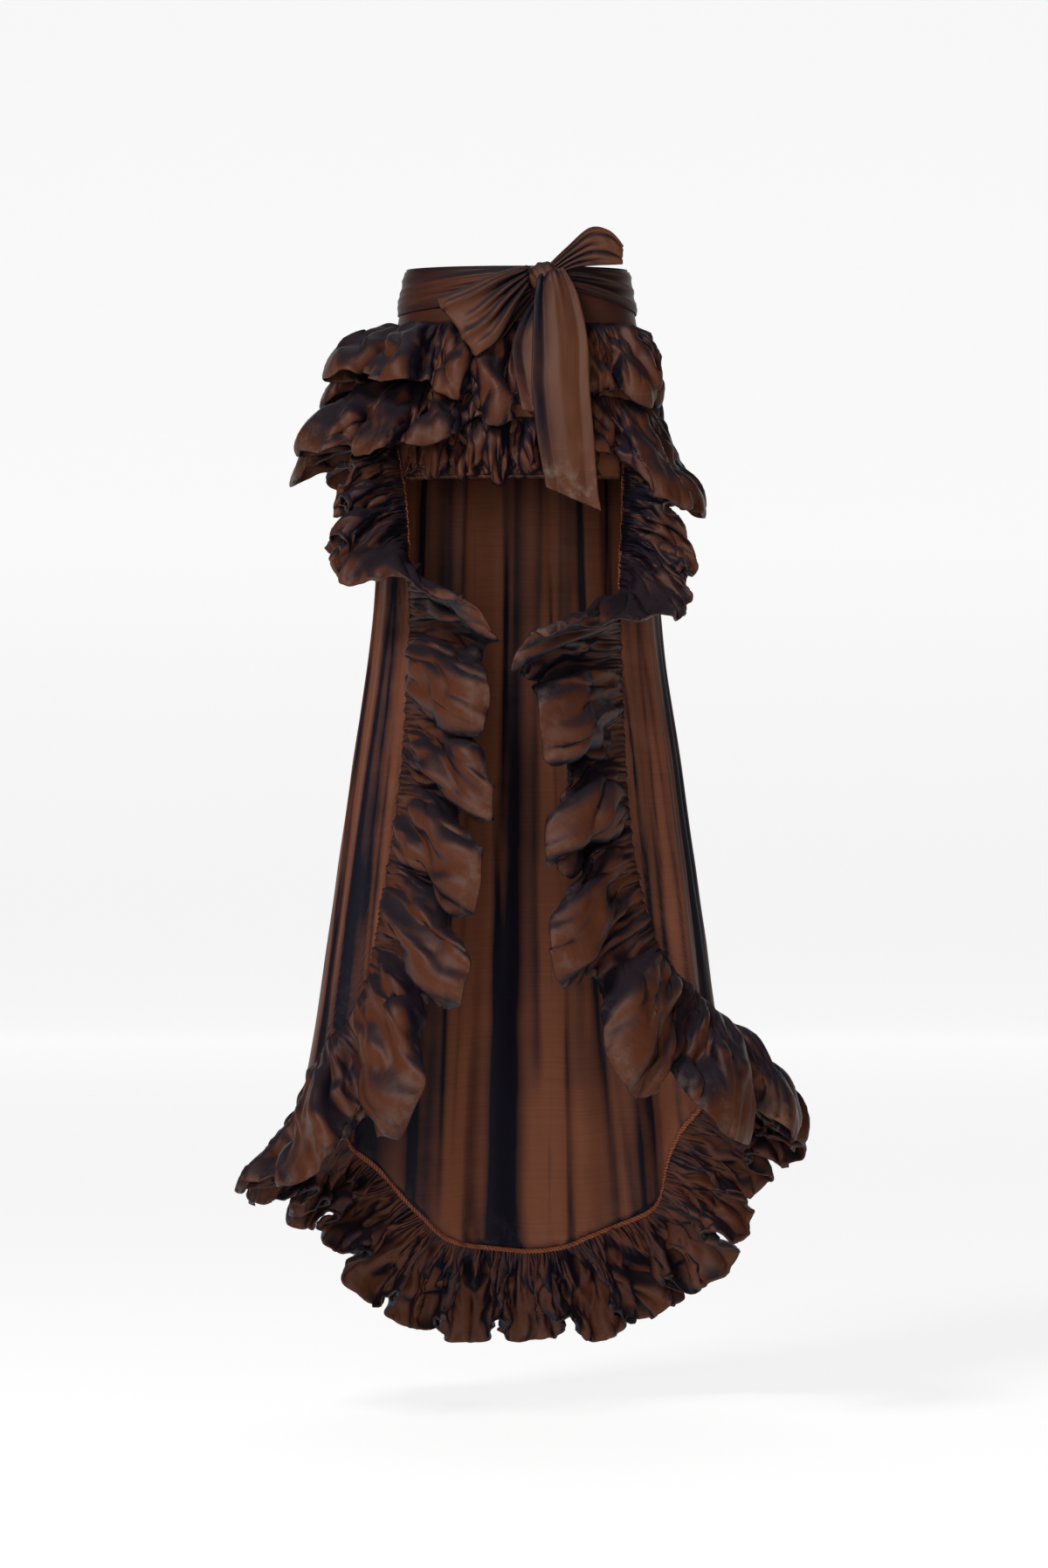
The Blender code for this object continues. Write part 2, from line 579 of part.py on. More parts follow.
def make_puff_tier(cloth):
    """The lowest tier: a strip gathered at both edges, so that it puffs out between them."""
    turned = np.unwrap(PUFFS["at"], period=360)
    count = len(turned)
    wave = np.linspace(-0.4, count - 0.6, (count - 1) * STEPS_PER_PUFF + 6)
    sizes = {key: smooth_row(wave, PUFFS, key) for key in PUFFS}
    step = turned[1] - turned[0]
    angle = smooth_row(wave, {"at": turned}, "at")
    angle = np.where(wave < 0, turned[0] + wave * step, angle)
    angle = np.where(wave > count - 1, turned[-1] + (wave - count + 1) * step, angle)
    share = np.array([0, 0.15, 0.4, 0.65, 0.85, 1.0])[None, :]
    crest = 0.62 + 0.38 * np.cos(2 * np.pi * wave)[:, None]
    out = sizes["bulge"][:, None] * crest * np.sin(np.pi * share) ** 0.8
    down = sizes["droop"][:, None] * crest * np.sin(np.pi * share**1.7) ** 2
    drop = PUFF_TOP + (PUFF_FOOT - PUFF_TOP) * share + down
    base = CLOTH + SEAM_GAP + RUFFLE_CLOTH / 2
    grid = body(angle[:, None], np.minimum(drop, PUFF_LOWEST), base + out)
    wall("tier_lower", grid, RUFFLE_CLOTH, cloth)


def make_sash(cloth):
    """The sash round the waistband, pleated lengthwise, from one side of the knot to the other."""
    angles = np.concatenate([[26.0], np.arange(30, 368, 7.5)])
    share = np.linspace(0, 1, 2 * SASH_PLEATS + 1)
    top = smooth(angles, SASH["angle"], SASH["top"])[:, None]
    foot = smooth(angles, SASH["angle"], SASH["foot"])[:, None]
    pleat = smooth(angles, SASH["angle"], SASH["pleat"])[:, None]
    drop = top + (foot - top) * share
    level = CLOTH / 2 + BAND_CLOTH / 2 + SEAM_GAP + SASH_CLOTH / 2
    relief = pleat * (1 - np.cos(2 * np.pi * SASH_PLEATS * share)) / 2
    lift = BAND_LIFT * (1 - np.cos(np.radians(angles[:, None]))) / 2
    grid = body(angles[:, None], drop, level + relief)
    grid[..., 2] += lift * (1 - drop / BAND_DEPTH)
    wall("sash_wrap", grid, SASH_CLOTH, cloth)


def make_knot(cloth):
    """A soft knot, wider than it is deep, with a band wrapped over it."""
    around, levels = 16, 9
    turn = np.linspace(0, 2 * np.pi, around + 1)[:-1]
    tilt = np.linspace(-np.pi / 2, np.pi / 2, levels)[1:-1]
    ring = np.stack(
        [np.outer(np.cos(tilt), np.cos(turn)), np.outer(np.cos(tilt), np.sin(turn))], -1
    )
    upright = np.repeat(np.sin(tilt)[:, None], around, 1)
    ball = np.concatenate([ring, upright[..., None]], -1)
    groove = 0.98 - 0.02 * np.cos(3 * (turn[None, :] + 1.2 * upright))
    points = np.concatenate([(ball * groove[..., None]).reshape(-1, 3), [[0, 0, -1], [0, 0, 1]]])
    points = points * KNOT_RADII + KNOT_CENTRE
    low, high = len(points) - 2, len(points) - 1
    faces = []
    for j in range(len(tilt) - 1):
        for i in range(around):
            k = (i + 1) % around
            faces.append([j * around + i, j * around + k, (j + 1) * around + k, (j + 1) * around + i])
    last = (len(tilt) - 1) * around
    for i in range(around):
        k = (i + 1) % around
        faces.append([low, k, i])
        faces.append([high, last + i, last + k])
    solid("knot", points, faces, cloth)


def at_knot(points):
    """Points moved straight towards or away from the knot's middle, to just off its surface."""
    away = points - KNOT_CENTRE
    surface = away / np.linalg.norm(away / np.array(KNOT_RADII), axis=-1, keepdims=True)
    return KNOT_CENTRE + surface + unit(surface / np.square(KNOT_RADII)) * KNOT_GAP


def make_bow_strip(name, sections, pleats, pleat, columns, cloth, loop=False):
    """One strip of the bow, through its table of sections, with lengthwise pleats."""
    place = np.linspace(0, len(sections["x0"]) - 1, columns)
    first = np.stack([smooth_row(place, sections, key) for key in ("x0", "y0", "z0")], -1)
    second = np.stack([smooth_row(place, sections, key) for key in ("x1", "y1", "z1")], -1)
    share = np.linspace(0, 1, 2 * pleats + 1)
    grid = first[:, None] + (second - first)[:, None] * share[None, :, None]
    normals = grid_normals(grid, False)
    width = np.linalg.norm(second - first, axis=-1)
    height = pleat * np.minimum(width / width.max() * 1.6, 1)
    wave = np.cos(2 * np.pi * pleats * share) * np.sin(np.pi * share) ** 0.5
    grid = grid + normals * (height[:, None] * wave[None, :])[..., None]
    grid[0] = at_knot(grid[0])
    if loop:
        grid[-1] = at_knot(grid[-1])
    wall(name, grid, SASH_CLOTH, cloth)


def main():
    for old in list(bpy.data.objects):
        bpy.data.objects.remove(old)
    cloth = material("shot_taffeta", (0.085, 0.038, 0.022), 0.42, 0.5)
    make_waistband(cloth)
    make_front_panel(cloth)
    make_long_skirt(cloth)
    make_edge_ruffle(cloth)
    make_tier("tier_upper", UPPER_TIER, cloth)
    make_tier("tier_middle", MIDDLE_TIER, cloth)
    make_puff_tier(cloth)
    make_sash(cloth)
    make_knot(cloth)
    make_bow_strip("bow_tail_long", LONG_TAIL, 2, 0.0015, 13, cloth)
    make_bow_strip("bow_tail_short", SHORT_TAIL, 2, 0.0012, 9, cloth)
    make_bow_strip("bow_loop_left", LEFT_LOOP, 3, 0.0016, 21, cloth, loop=True)
    make_bow_strip("bow_loop_upper", UPPER_LOOP, 2, 0.0012, 19, cloth, loop=True)


main()
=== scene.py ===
"""Dresses the tiered high-low skirt: shot taffeta panels, gathered ruffles, sash and bow.

Sizes are in metres, +Z is up and the open front faces -Y. The origin is the middle of the waist,
level with the waistband's top edge. Angles run round the body in degrees, 0 at the front, 90 at +X
and 180 at the back. A drop is a height below the waistband's top edge.
"""

import logging
import math
from dataclasses import dataclass, field
from enum import Enum
from typing import Optional, Sequence, Union

import bpy
import numpy as np
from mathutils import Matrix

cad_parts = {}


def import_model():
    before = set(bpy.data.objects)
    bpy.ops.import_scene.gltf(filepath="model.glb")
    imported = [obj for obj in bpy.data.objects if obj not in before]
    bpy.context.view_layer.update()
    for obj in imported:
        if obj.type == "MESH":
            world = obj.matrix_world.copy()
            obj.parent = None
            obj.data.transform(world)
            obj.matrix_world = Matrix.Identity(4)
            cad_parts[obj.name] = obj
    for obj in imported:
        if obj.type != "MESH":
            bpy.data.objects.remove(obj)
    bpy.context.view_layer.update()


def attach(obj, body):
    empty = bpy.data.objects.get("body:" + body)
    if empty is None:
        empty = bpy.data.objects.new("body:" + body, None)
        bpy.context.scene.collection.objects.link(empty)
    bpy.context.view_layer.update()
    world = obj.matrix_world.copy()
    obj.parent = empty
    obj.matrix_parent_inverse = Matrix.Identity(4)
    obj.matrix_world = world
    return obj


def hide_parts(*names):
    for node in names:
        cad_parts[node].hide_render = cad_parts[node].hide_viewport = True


LOG = logging.getLogger("skirt")
Array = np.ndarray
Amount = Union[np.ndarray, float]
Table = dict[str, np.ndarray]
Colour = tuple[float, float, float]

SEAM_GAP = 0.0003
CLOTH = 0.0012
RUFFLE_CLOTH = 0.0014
BAND_CLOTH = 0.0024
SASH_CLOTH = 0.0014
BAND_DEPTH = 0.062
BAND_LIFT = 0.004
PANEL_TOP = BAND_DEPTH + SEAM_GAP
ON_PANEL = CLOTH + SEAM_GAP + RUFFLE_CLOTH / 2  # level of a strip's middle that lies on a panel


# --------------------------------------------------------------------------- numbers
def table(text: str) -> Table:
    """A table's columns.

    Args:
        text: the columns' names, and under them a line of numbers for each row.

    Returns:
        One array for each named column.
    """
    names, *rows = text.strip().splitlines()
    return dict(zip(names.split(), np.array([row.split() for row in rows], float).T))


def smooth(x: Array, xs: Array, ys: Array) -> Array:
    """A smooth curve through a table's points.

    Args:
        x: where the curve is wanted.
        xs: the table's places, rising or falling.
        ys: its values.

    Returns:
        The curve's values, held level beyond the ends.
    """
    slopes = np.gradient(ys, xs)
    i = np.clip(np.searchsorted(xs, x) - 1, 0, len(xs) - 2)
    step = xs[i + 1] - xs[i]
    u = np.clip((x - xs[i]) / step, 0, 1)
    start = (2 * u**3 - 3 * u**2 + 1) * ys[i] + (u**3 - 2 * u**2 + u) * step * slopes[i]
    end = (3 * u**2 - 2 * u**3) * ys[i + 1] + (u**3 - u**2) * step * slopes[i + 1]
    return start + end


def smooth_row(at: Array, columns: Table, name: str) -> Array:
    """A table's column at a place given in rows."""
    return smooth(at, np.arange(len(columns[name]), dtype=float), columns[name])


def unit(vectors: Array) -> Array:
    """Vectors made one long."""
    return vectors / np.maximum(np.linalg.norm(vectors, axis=-1, keepdims=True), 1e-12)


def ease(x: Array) -> Array:
    """A soft step from 0 to 1 while x goes from 0 to 1."""
    t = np.clip(x, 0, 1)
    return t * t * (3 - 2 * t)


def between(x: Array, start: Amount, end: Amount, fades: tuple[float, float], early: tuple = (0, 0)) -> Array:
    """1 between two places and 0 beyond them, with a soft step at each.

    Args:
        x: where it is wanted.
        start: the first place.
        end: the last place.
        fades: how long the two steps are.
        early: how far, in shares of its step, each end is moved out.

    Returns:
        Values from 0 to 1, in the shape of x.
    """
    return ease((x - start) / fades[0] + early[0]) * ease((end - x) / fades[1] + early[1])


def ridge(away: Array, power: float) -> Array:
    """A fold's section, 1 on its middle line; a higher power gives it a broader top."""
    return np.exp(-np.abs(away) ** power)


def wrapped(away: Array, whole: float) -> Array:
    """Distances round a closed line, from minus half its length to half its length."""
    return (away + whole / 2) % whole - whole / 2


def passed(points: Array) -> Array:
    """Metres passed at each point of a line, from 0 at its start."""
    return np.concatenate([[0], np.cumsum(np.linalg.norm(np.diff(points, axis=0), axis=-1))])


def square_to(axis: Array, vectors: Array) -> Array:
    """Unit vectors square to an axis, as near as that allows to the given ones."""
    return unit(vectors - axis * (vectors * axis).sum(-1, keepdims=True))


def grid_normals(grid: Array, ring: bool) -> Array:
    """The cloth's normal at each point of a grid.

    Args:
        grid: points, columns by rows.
        ring: whether the last column joins the first.

    Returns:
        One unit vector a point.
    """
    padded = np.concatenate([grid[-1:], grid, grid[:1]]) if ring else grid
    across = np.gradient(padded, axis=0)
    across = across[1:-1] if ring else across
    return unit(np.cross(across, np.gradient(grid, axis=1)))


# ------------------------------------------------------------------------- the body
# The skirt's hollow form: half its width, and its depths before and behind the middle.
BODY = table("""
drop half_width front_depth back_depth
0.000 0.1195 0.088 0.086
0.062 0.1300 0.097 0.099
0.130 0.1420 0.108 0.118
0.220 0.1490 0.115 0.132
0.375 0.1565 0.120 0.150
0.560 0.1820 0.128 0.178
0.700 0.2015 0.136 0.200
0.830 0.2190 0.146 0.222
0.950 0.2380 0.158 0.242
1.100 0.2570 0.172 0.262
""")

# The long skirt's free edge, down one side of the opening, round the hem and up the other side.
EDGE = table("""
angle drop
296.0 0.185
303.0 0.228
307.5 0.277
311.5 0.363
314.0 0.430
315.5 0.497
316.0 0.560
314.5 0.650
311.5 0.735
304.0 0.809
295.0 0.842
284.0 0.872
270.0 0.896
251.0 0.932
234.0 0.964
220.0 0.992
210.0 1.046
200.0 1.080
185.0 1.094
168.0 1.091
154.0 1.066
140.0 1.032
131.0 0.974
118.0 0.914
104.0 0.868
90.0 0.834
76.0 0.810
64.0 0.792
53.0 0.760
45.0 0.712
41.0 0.640
40.5 0.560
43.0 0.460
45.0 0.390
47.0 0.320
49.5 0.260
51.0 0.190
""")

# Main lengthwise folds. A positive depth stands inwards.
FOLDS = table("""
angle width depth start
208.0 7.0 0.020 0.25
199.0 8.0 0.016 0.10
188.0 6.5 -0.014 0.06
175.0 9.0 0.022 0.06
161.0 5.5 0.024 0.20
148.0 8.0 -0.020 0.10
132.0 8.0 0.012 0.20
116.0 8.0 -0.014 0.20
222.0 8.0 -0.022 0.12
240.0 9.0 0.012 0.20
257.0 8.0 -0.012 0.25
284.0 5.0 0.012 0.12
296.0 4.5 -0.010 0.12
306.0 4.5 0.011 0.12
74.0 5.0 0.010 0.15
61.0 5.0 -0.010 0.20
51.0 4.5 0.009 0.25
""")

# Narrow folds that come and go down the panels; "drift" is how far they turn by the hem.
FINE_FOLDS = table("""
angle drift width depth start end
203.0 4.0 2.6 0.0040 0.10 0.80
193.0 5.0 2.2 -0.0030 0.30 1.10
181.0 6.0 2.4 0.0036 0.15 0.95
170.0 3.0 2.0 -0.0030 0.45 1.10
166.0 -4.0 2.6 0.0032 0.10 0.70
155.0 -5.0 2.3 0.0040 0.20 1.10
143.0 -3.0 2.4 -0.0030 0.35 0.90
137.0 4.0 2.8 0.0034 0.15 1.00
124.0 3.0 2.6 0.0040 0.25 1.10
109.0 -4.0 2.2 -0.0028 0.15 0.80
98.0 3.0 2.8 0.0040 0.20 1.00
84.0 -3.0 2.0 0.0030 0.25 0.85
67.0 3.0 1.8 -0.0026 0.30 0.90
56.0 -2.0 1.6 0.0026 0.30 0.80
213.0 -3.0 2.4 -0.0034 0.20 1.05
228.0 4.0 2.8 0.0040 0.15 0.95
234.0 -5.0 2.2 -0.0030 0.40 1.10
247.0 3.0 2.6 0.0038 0.20 1.00
263.0 -4.0 2.4 0.0034 0.15 0.90
277.0 3.0 1.9 -0.0028 0.20 0.85
290.0 -3.0 1.7 0.0028 0.20 0.80
301.0 2.0 1.5 0.0026 0.25 0.80
""")
HEM_DROP = 1.1
FOLD_GROWTH = 1.1  # power by which a main fold deepens on its way down, and how far past the hem


def fold_depth(angle: Array, drop: Array) -> Array:
    """How far the main folds stand out from the body.

    Args:
        angle: degrees round the body.
        drop: metres below the waistband's top edge.

    Returns:
        Metres, in the shape of angle and drop together.
    """
    out = np.zeros(np.broadcast(angle, drop).shape)
    for centre, width, depth, start in zip(*FOLDS.values()):
        grown = np.clip((drop - start) / (HEM_DROP - start), 0, FOLD_GROWTH) ** FOLD_GROWTH
        out -= depth * grown * ridge(wrapped(angle - centre, 360) / width, power=2)
    return out


def fine_depth(angle: Array, drop: Array) -> Array:
    """How far the narrow folds stand out from the body.

    Args:
        angle: degrees round the body.
        drop: metres below the waistband's top edge.

    Returns:
        Metres, in the shape of angle and drop together.
    """
    out = np.zeros(np.broadcast(angle, drop).shape)
    for centre, drift, width, depth, start, end in zip(*FINE_FOLDS.values()):
        away = wrapped(angle - centre - drift * drop, 360)
        out -= depth * between(drop, start, end, (0.25, 0.25)) * ridge(away / width, power=1.6)
    return out


# Bands of painted shade in the folds' valleys and painted highlight on their ridges, from the panel's
# top to its hem. A negative amount is navy painted shade.
PAINTED_FOLD_BANDS = table("""
angle_top angle_hem width_top width_hem amount start end
214.0 207.0 8.0 4.0 -0.75 0.00 1.20
178.5 184.0 4.2 4.0 -1.00 0.00 1.20
169.0 176.0 2.6 2.0 -0.85 0.00 0.95
157.0 161.0 5.0 4.5 -0.55 0.00 0.95
135.0 148.0 5.0 4.0 -0.65 0.00 1.20
226.0 222.0 5.0 5.0 -0.60 0.10 1.20
192.0 197.0 7.0 5.0 0.50 0.00 1.20
164.0 172.0 4.0 6.0 0.40 0.10 1.20
146.0 152.0 5.0 5.0 0.30 0.00 1.20
302.0 300.0 4.0 5.0 -0.70 0.10 0.90
284.0 286.0 6.0 6.0 0.35 0.10 0.90
64.0 62.0 5.0 5.0 0.35 0.10 0.85
80.0 78.0 6.0 6.0 -0.60 0.10 0.85
212.5 211.8 0.8 1.2 -0.90 0.72 1.20
155.5 154.8 0.8 1.2 -0.90 0.70 1.20
221.0 219.0 3.0 6.0 -0.45 0.80 1.20
""")


@dataclass(frozen=True)
class PaintedCreaseStreaks:
    """Narrow streaks of painted highlight and shade, as of fine creases, that fan out to the hem.

    Ranges are those that each streak's own value is drawn from: degrees for the width, metres for
    the start and the length.
    """

    number: int = 300
    seed: int = 77
    fan: float = 7.0
    width: tuple[float, float] = (0.5, 1.5)
    start: tuple[float, float] = (-0.2, 0.9)
    length: tuple[float, float] = (0.15, 0.7)
    amount: tuple[float, float] = (-0.75, 0.40)

    def tone(self, angle: Array, drop: Array) -> Array:
        """The painted highlight and shade that the streaks add to the cloth's tone.

        Args:
            angle: degrees round the body.
            drop: metres below the waistband's top edge.

        Returns:
            Amounts, in the shape of angle and drop together.
        """
        rng = np.random.default_rng(self.seed)
        out = np.zeros(np.broadcast(angle, drop).shape)
        for _ in range(self.number):
            top, spread = rng.uniform(0, 360), rng.normal(0, self.fan)
            width, start, length, amount = (
                rng.uniform(*drawn) for drawn in (self.width, self.start, self.length, self.amount)
            )
            away = wrapped(angle - top - spread * (drop - start), 360) + 0.5 * np.sin(11 * drop + top)
            shown = between(drop, start, start + length, (0.10, 0.15))
            out += amount * shown * ridge(away / width, power=1.8)
        return out


def shade_bands(angle: Array, drop: Array) -> Array:
    """The painted shade and highlight that the bands and the streaks add to the cloth's tone.

    Args:
        angle: degrees round the body.
        drop: metres below the waistband's top edge.

    Returns:
        Amounts, in the shape of angle and drop together.
    """
    out = PaintedCreaseStreaks().tone(angle, drop)
    run = drop / HEM_DROP
    for top, hem, wide_top, wide_hem, amount, start, end in zip(*PAINTED_FOLD_BANDS.values()):
        away = wrapped(angle - top - (hem - top) * run, 360) + 0.8 * np.sin(9 * drop + top)
        width = wide_top + (wide_hem - wide_top) * run
        shown = between(drop, start, end, (0.12, 0.12), early=(0.3, 0))
        out += amount * shown * ridge(away / width, power=1.5)
    return out


def body(angle: Array, drop: Array, out: Array = 0.0, folds: float = 1.0) -> Array:
    """Points of the skirt's surface.

    Args:
        angle: degrees round the body.
        drop: metres below the waistband's top edge.
        out: distance along the level normal.
        folds: share of the main folds that is kept.

    Returns:
        Points in the shape of the arguments, with x, y and z last.
    """
    angle, drop, out = np.broadcast_arrays(angle, drop, out)
    turn = np.radians(angle)
    half_width = smooth(drop, BODY["drop"], BODY["half_width"])
    front = smooth(drop, BODY["drop"], BODY["front_depth"])
    back = smooth(drop, BODY["drop"], BODY["back_depth"])
    depth = np.where(np.cos(turn) > 0, front, back)
    normal = unit(np.stack([np.sin(turn) / half_width, -np.cos(turn) / depth], -1))
    flat = np.stack([half_width * np.sin(turn), -depth * np.cos(turn)], -1)
    flat = flat + normal * (out + folds * fold_depth(angle, drop))[..., None]
    return np.concatenate([flat, -drop[..., None]], -1)


def outward(angle: Array, drop: Array) -> Array:
    """The skirt's level normal."""
    return unit(body(angle, drop, 0.01) - body(angle, drop))


AXIS_REACH = 0.6  # rows of EDGE on each side over which the edge's direction is taken


def edge_at(row: Array) -> tuple[Array, Array]:
    """Angle and drop of the long skirt's free edge at a place given in rows of EDGE."""
    return smooth_row(row, EDGE, "angle"), smooth_row(row, EDGE, "drop")


def edge_axes(row: Array) -> tuple[Array, Array, Array]:
    """The free edge's directions.

    Args:
        row: places in rows of EDGE.

    Returns:
        Unit vectors along the edge, out from the body, and on from the panel.
    """
    ahead = body(*edge_at(row + AXIS_REACH), folds=0)
    along = unit(ahead - body(*edge_at(row - AXIS_REACH), folds=0))
    out_axis = square_to(along, outward(*edge_at(row)))
    return along, out_axis, np.cross(out_axis, along)


# ------------------------------------------------------------------------- finishes
class Ways(Enum):
    """How a sheet of cloth is held."""

    GATHERED = "gathered"
    HUNG = "hung"
    FOLDED = "folded"
    STRETCHED = "stretched"


class Carries(Enum):
    """What a shader group's socket carries."""

    NUMBER = "NodeSocketFloat"
    COLOUR = "NodeSocketColor"


Inputs = dict[Union[str, int], object]
Outputs = dict[str, bpy.types.NodeSocket]


@dataclass(frozen=True)
class Graph:
    """A node tree and short ways to add to it."""

    tree: bpy.types.NodeTree

    def feed(self, node: bpy.types.Node, inputs: Inputs) -> bpy.types.Node:
        """Sets a node's inputs.

        Args:
            node: the node.
            inputs: another node's output, or else a plain value, for each input.

        Returns:
            The same node.
        """
        for name, value in inputs.items():
            if isinstance(value, bpy.types.NodeSocket):
                self.tree.links.new(value, node.inputs[name])
            else:
                node.inputs[name].default_value = value
        return node

    def add(self, kind: str, inputs: Inputs, **settings: object) -> bpy.types.bpy_prop_collection:
        """Adds a node.

        Args:
            kind: its type, without "ShaderNode".
            inputs: outputs of other nodes, or plain values, for its inputs.
            settings: its other properties.

        Returns:
            The new node's outputs.
        """
        node = self.tree.nodes.new(f"ShaderNode{kind}")
        for name, value in settings.items():
            setattr(node, name, value)
        return self.feed(node, inputs).outputs


@dataclass(frozen=True)
class SharedGroup:
    """A shader group that several finishes share, with its named sockets."""

    name: str
    takes: tuple[tuple[str, Carries], ...]
    gives: tuple[tuple[str, Carries], ...]

    def fill(self, graph: Graph, given: bpy.types.bpy_prop_collection) -> Outputs:
        """Builds the group's inside, from what it takes to what it gives."""
        raise NotImplementedError

    def tree(self) -> bpy.types.NodeTree:
        """The group, which is built when it is first asked for.

        Returns:
            Its node tree.
        """
        made = bpy.data.node_groups.get(self.name)
        if made:
            return made
        made = bpy.data.node_groups.new(self.name, "ShaderNodeTree")
        for way, sockets in (("INPUT", self.takes), ("OUTPUT", self.gives)):
            for name, carries in sockets:
                made.interface.new_socket(name, in_out=way, socket_type=carries.value)
        entry, leave = made.nodes.new("NodeGroupInput"), made.nodes.new("NodeGroupOutput")
        graph = Graph(made)
        graph.feed(leave, self.fill(graph, entry.outputs))
        return made


@dataclass(frozen=True)
class Weave(SharedGroup):
    """Ribs and slubs of a plain weave, read from the cut's UV map in metres."""

    name: str = "taffeta_weave"
    takes: tuple = (("Ribs per metre", Carries.NUMBER), ("Slubs per metre", Carries.NUMBER))
    gives: tuple = (("Height", Carries.NUMBER), ("Slubs", Carries.NUMBER))
    rib_share: float = 0.35
    slub_stretch: Colour = (0.03, 1.0, 1.0)

    def fill(self, graph: Graph, given: bpy.types.bpy_prop_collection) -> Outputs:
        """Two crossing waves for the ribs, and a long thin noise for the slubs.

        Args:
            graph: the group's graph.
            given: what the group takes.

        Returns:
            What it gives, by name.
        """
        cut = graph.add("UVMap", {}, uv_map="cut")["UV"]
        split = graph.add("SeparateXYZ", {0: cut})
        waves = []
        for axis in ("X", "Y"):
            ribs = graph.add("Math", {0: split[axis], 1: given["Ribs per metre"]}, operation="MULTIPLY")
            turn = graph.add("Math", {0: ribs[0], 1: 2 * math.pi}, operation="MULTIPLY")
            waves.append(graph.add("Math", {0: turn[0]}, operation="SINE")[0])
        cross = graph.add("Math", {0: waves[0], 1: waves[1]}, operation="MULTIPLY")[0]
        drawn = graph.add("VectorMath", {0: cut, 1: self.slub_stretch}, operation="MULTIPLY")[0]
        noise = {"Detail": 3.0, "Vector": drawn, "Scale": given["Slubs per metre"]}
        slubs = graph.add("TexNoise", noise)["Fac"]
        height = graph.add("Math", {0: cross, 1: self.rib_share, 2: slubs}, operation="MULTIPLY_ADD")
        return {"Height": height[0], "Slubs": slubs}


@dataclass(frozen=True)
class ShotColourWithPaintedShade(SharedGroup):
    """The two colours of a shot weave, warp and weft, mixed by painted shade and topped with a painted sheen.
    """

    name: str = "shot_colour_painted_shade"
    takes: tuple = tuple((name, Carries.COLOUR) for name in ("Crest", "Valley", "Top")) + tuple(
        (name, Carries.NUMBER) for name in ("Tone", "Painted sheen", "Slubs")
    )
    gives: tuple = (("Colour", Carries.COLOUR),)
    cloud_scale: float = 14.0
    cloud_shift: float = 0.14
    grain: float = 0.20

    def fill(self, graph: Graph, given: bpy.types.bpy_prop_collection) -> Outputs:
        """Valley to crest by the tone's painted shade, then the paler painted sheen on upward faces, then the
        slubs' grain.

        Args:
            graph: the group's graph.
            given: what the group takes.

        Returns:
            What it gives, by name.
        """
        place = graph.add("TexCoord", {})["Object"]
        cloud = graph.add("TexNoise", {"Scale": self.cloud_scale, "Detail": 4.0, "Vector": place})["Fac"]
        ends = {"From Min": 0.3, "From Max": 0.7, "To Min": -self.cloud_shift, "To Max": self.cloud_shift}
        shift = graph.add("MapRange", {**ends, "Value": cloud})["Result"]
        tone = graph.add("Math", {0: given["Tone"], 1: shift}, use_clamp=True)[0]
        # Painted shade: the tone mixes in the navy where the cloth turns away.
        threads = {"Factor": tone, "A": given["Valley"], "B": given["Crest"]}
        shot = graph.add("Mix", threads, data_type="RGBA")["Result"]
        # Painted sheen: the paler colour on faces that point upwards.
        lit = {"Factor": given["Painted sheen"], "A": shot, "B": given["Top"]}
        both = graph.add("Mix", lit, data_type="RGBA")["Result"]
        ends = {"To Min": 1 - self.grain, "To Max": 1 + self.grain}
        grain = graph.add("MapRange", {**ends, "Value": given["Slubs"]})["Result"]
        return {"Colour": graph.add("VectorMath", {0: both, "Scale": grain}, operation="SCALE")[0]}


@dataclass(frozen=True)
class RubbedDust(SharedGroup):
    """Where pale dust has rubbed into folds and hems."""

    name: str = "rubbed_dust"
    takes: tuple = (("Wear", Carries.NUMBER),)
    gives: tuple = (("Mask", Carries.NUMBER),)
    scale: float = 55.0
    roughness: float = 0.65

    def fill(self, graph: Graph, given: bpy.types.bpy_prop_collection) -> Outputs:
        """Spots of noise, as strong as the wear.

        Args:
            graph: the group's graph.
            given: what the group takes.

        Returns:
            What it gives, by name.
        """
        place = graph.add("TexCoord", {})["Object"]
        noise = {"Scale": self.scale, "Detail": 6.0, "Roughness": self.roughness, "Vector": place}
        spots = {"From Min": 0.48, "From Max": 0.72, "Value": graph.add("TexNoise", noise)["Fac"]}
        shown = {0: graph.add("MapRange", spots)["Result"], 1: given["Wear"]}
        return {"Mask": graph.add("Math", shown, operation="MULTIPLY", use_clamp=True)[0]}


def new_material(name: str) -> tuple[bpy.types.Material, Graph, bpy.types.Node]:
    """A new material, its graph and its own shader."""
    made = bpy.data.materials.new(name)
    made.use_nodes = True
    return made, Graph(made.node_tree), made.node_tree.nodes["Principled BSDF"]


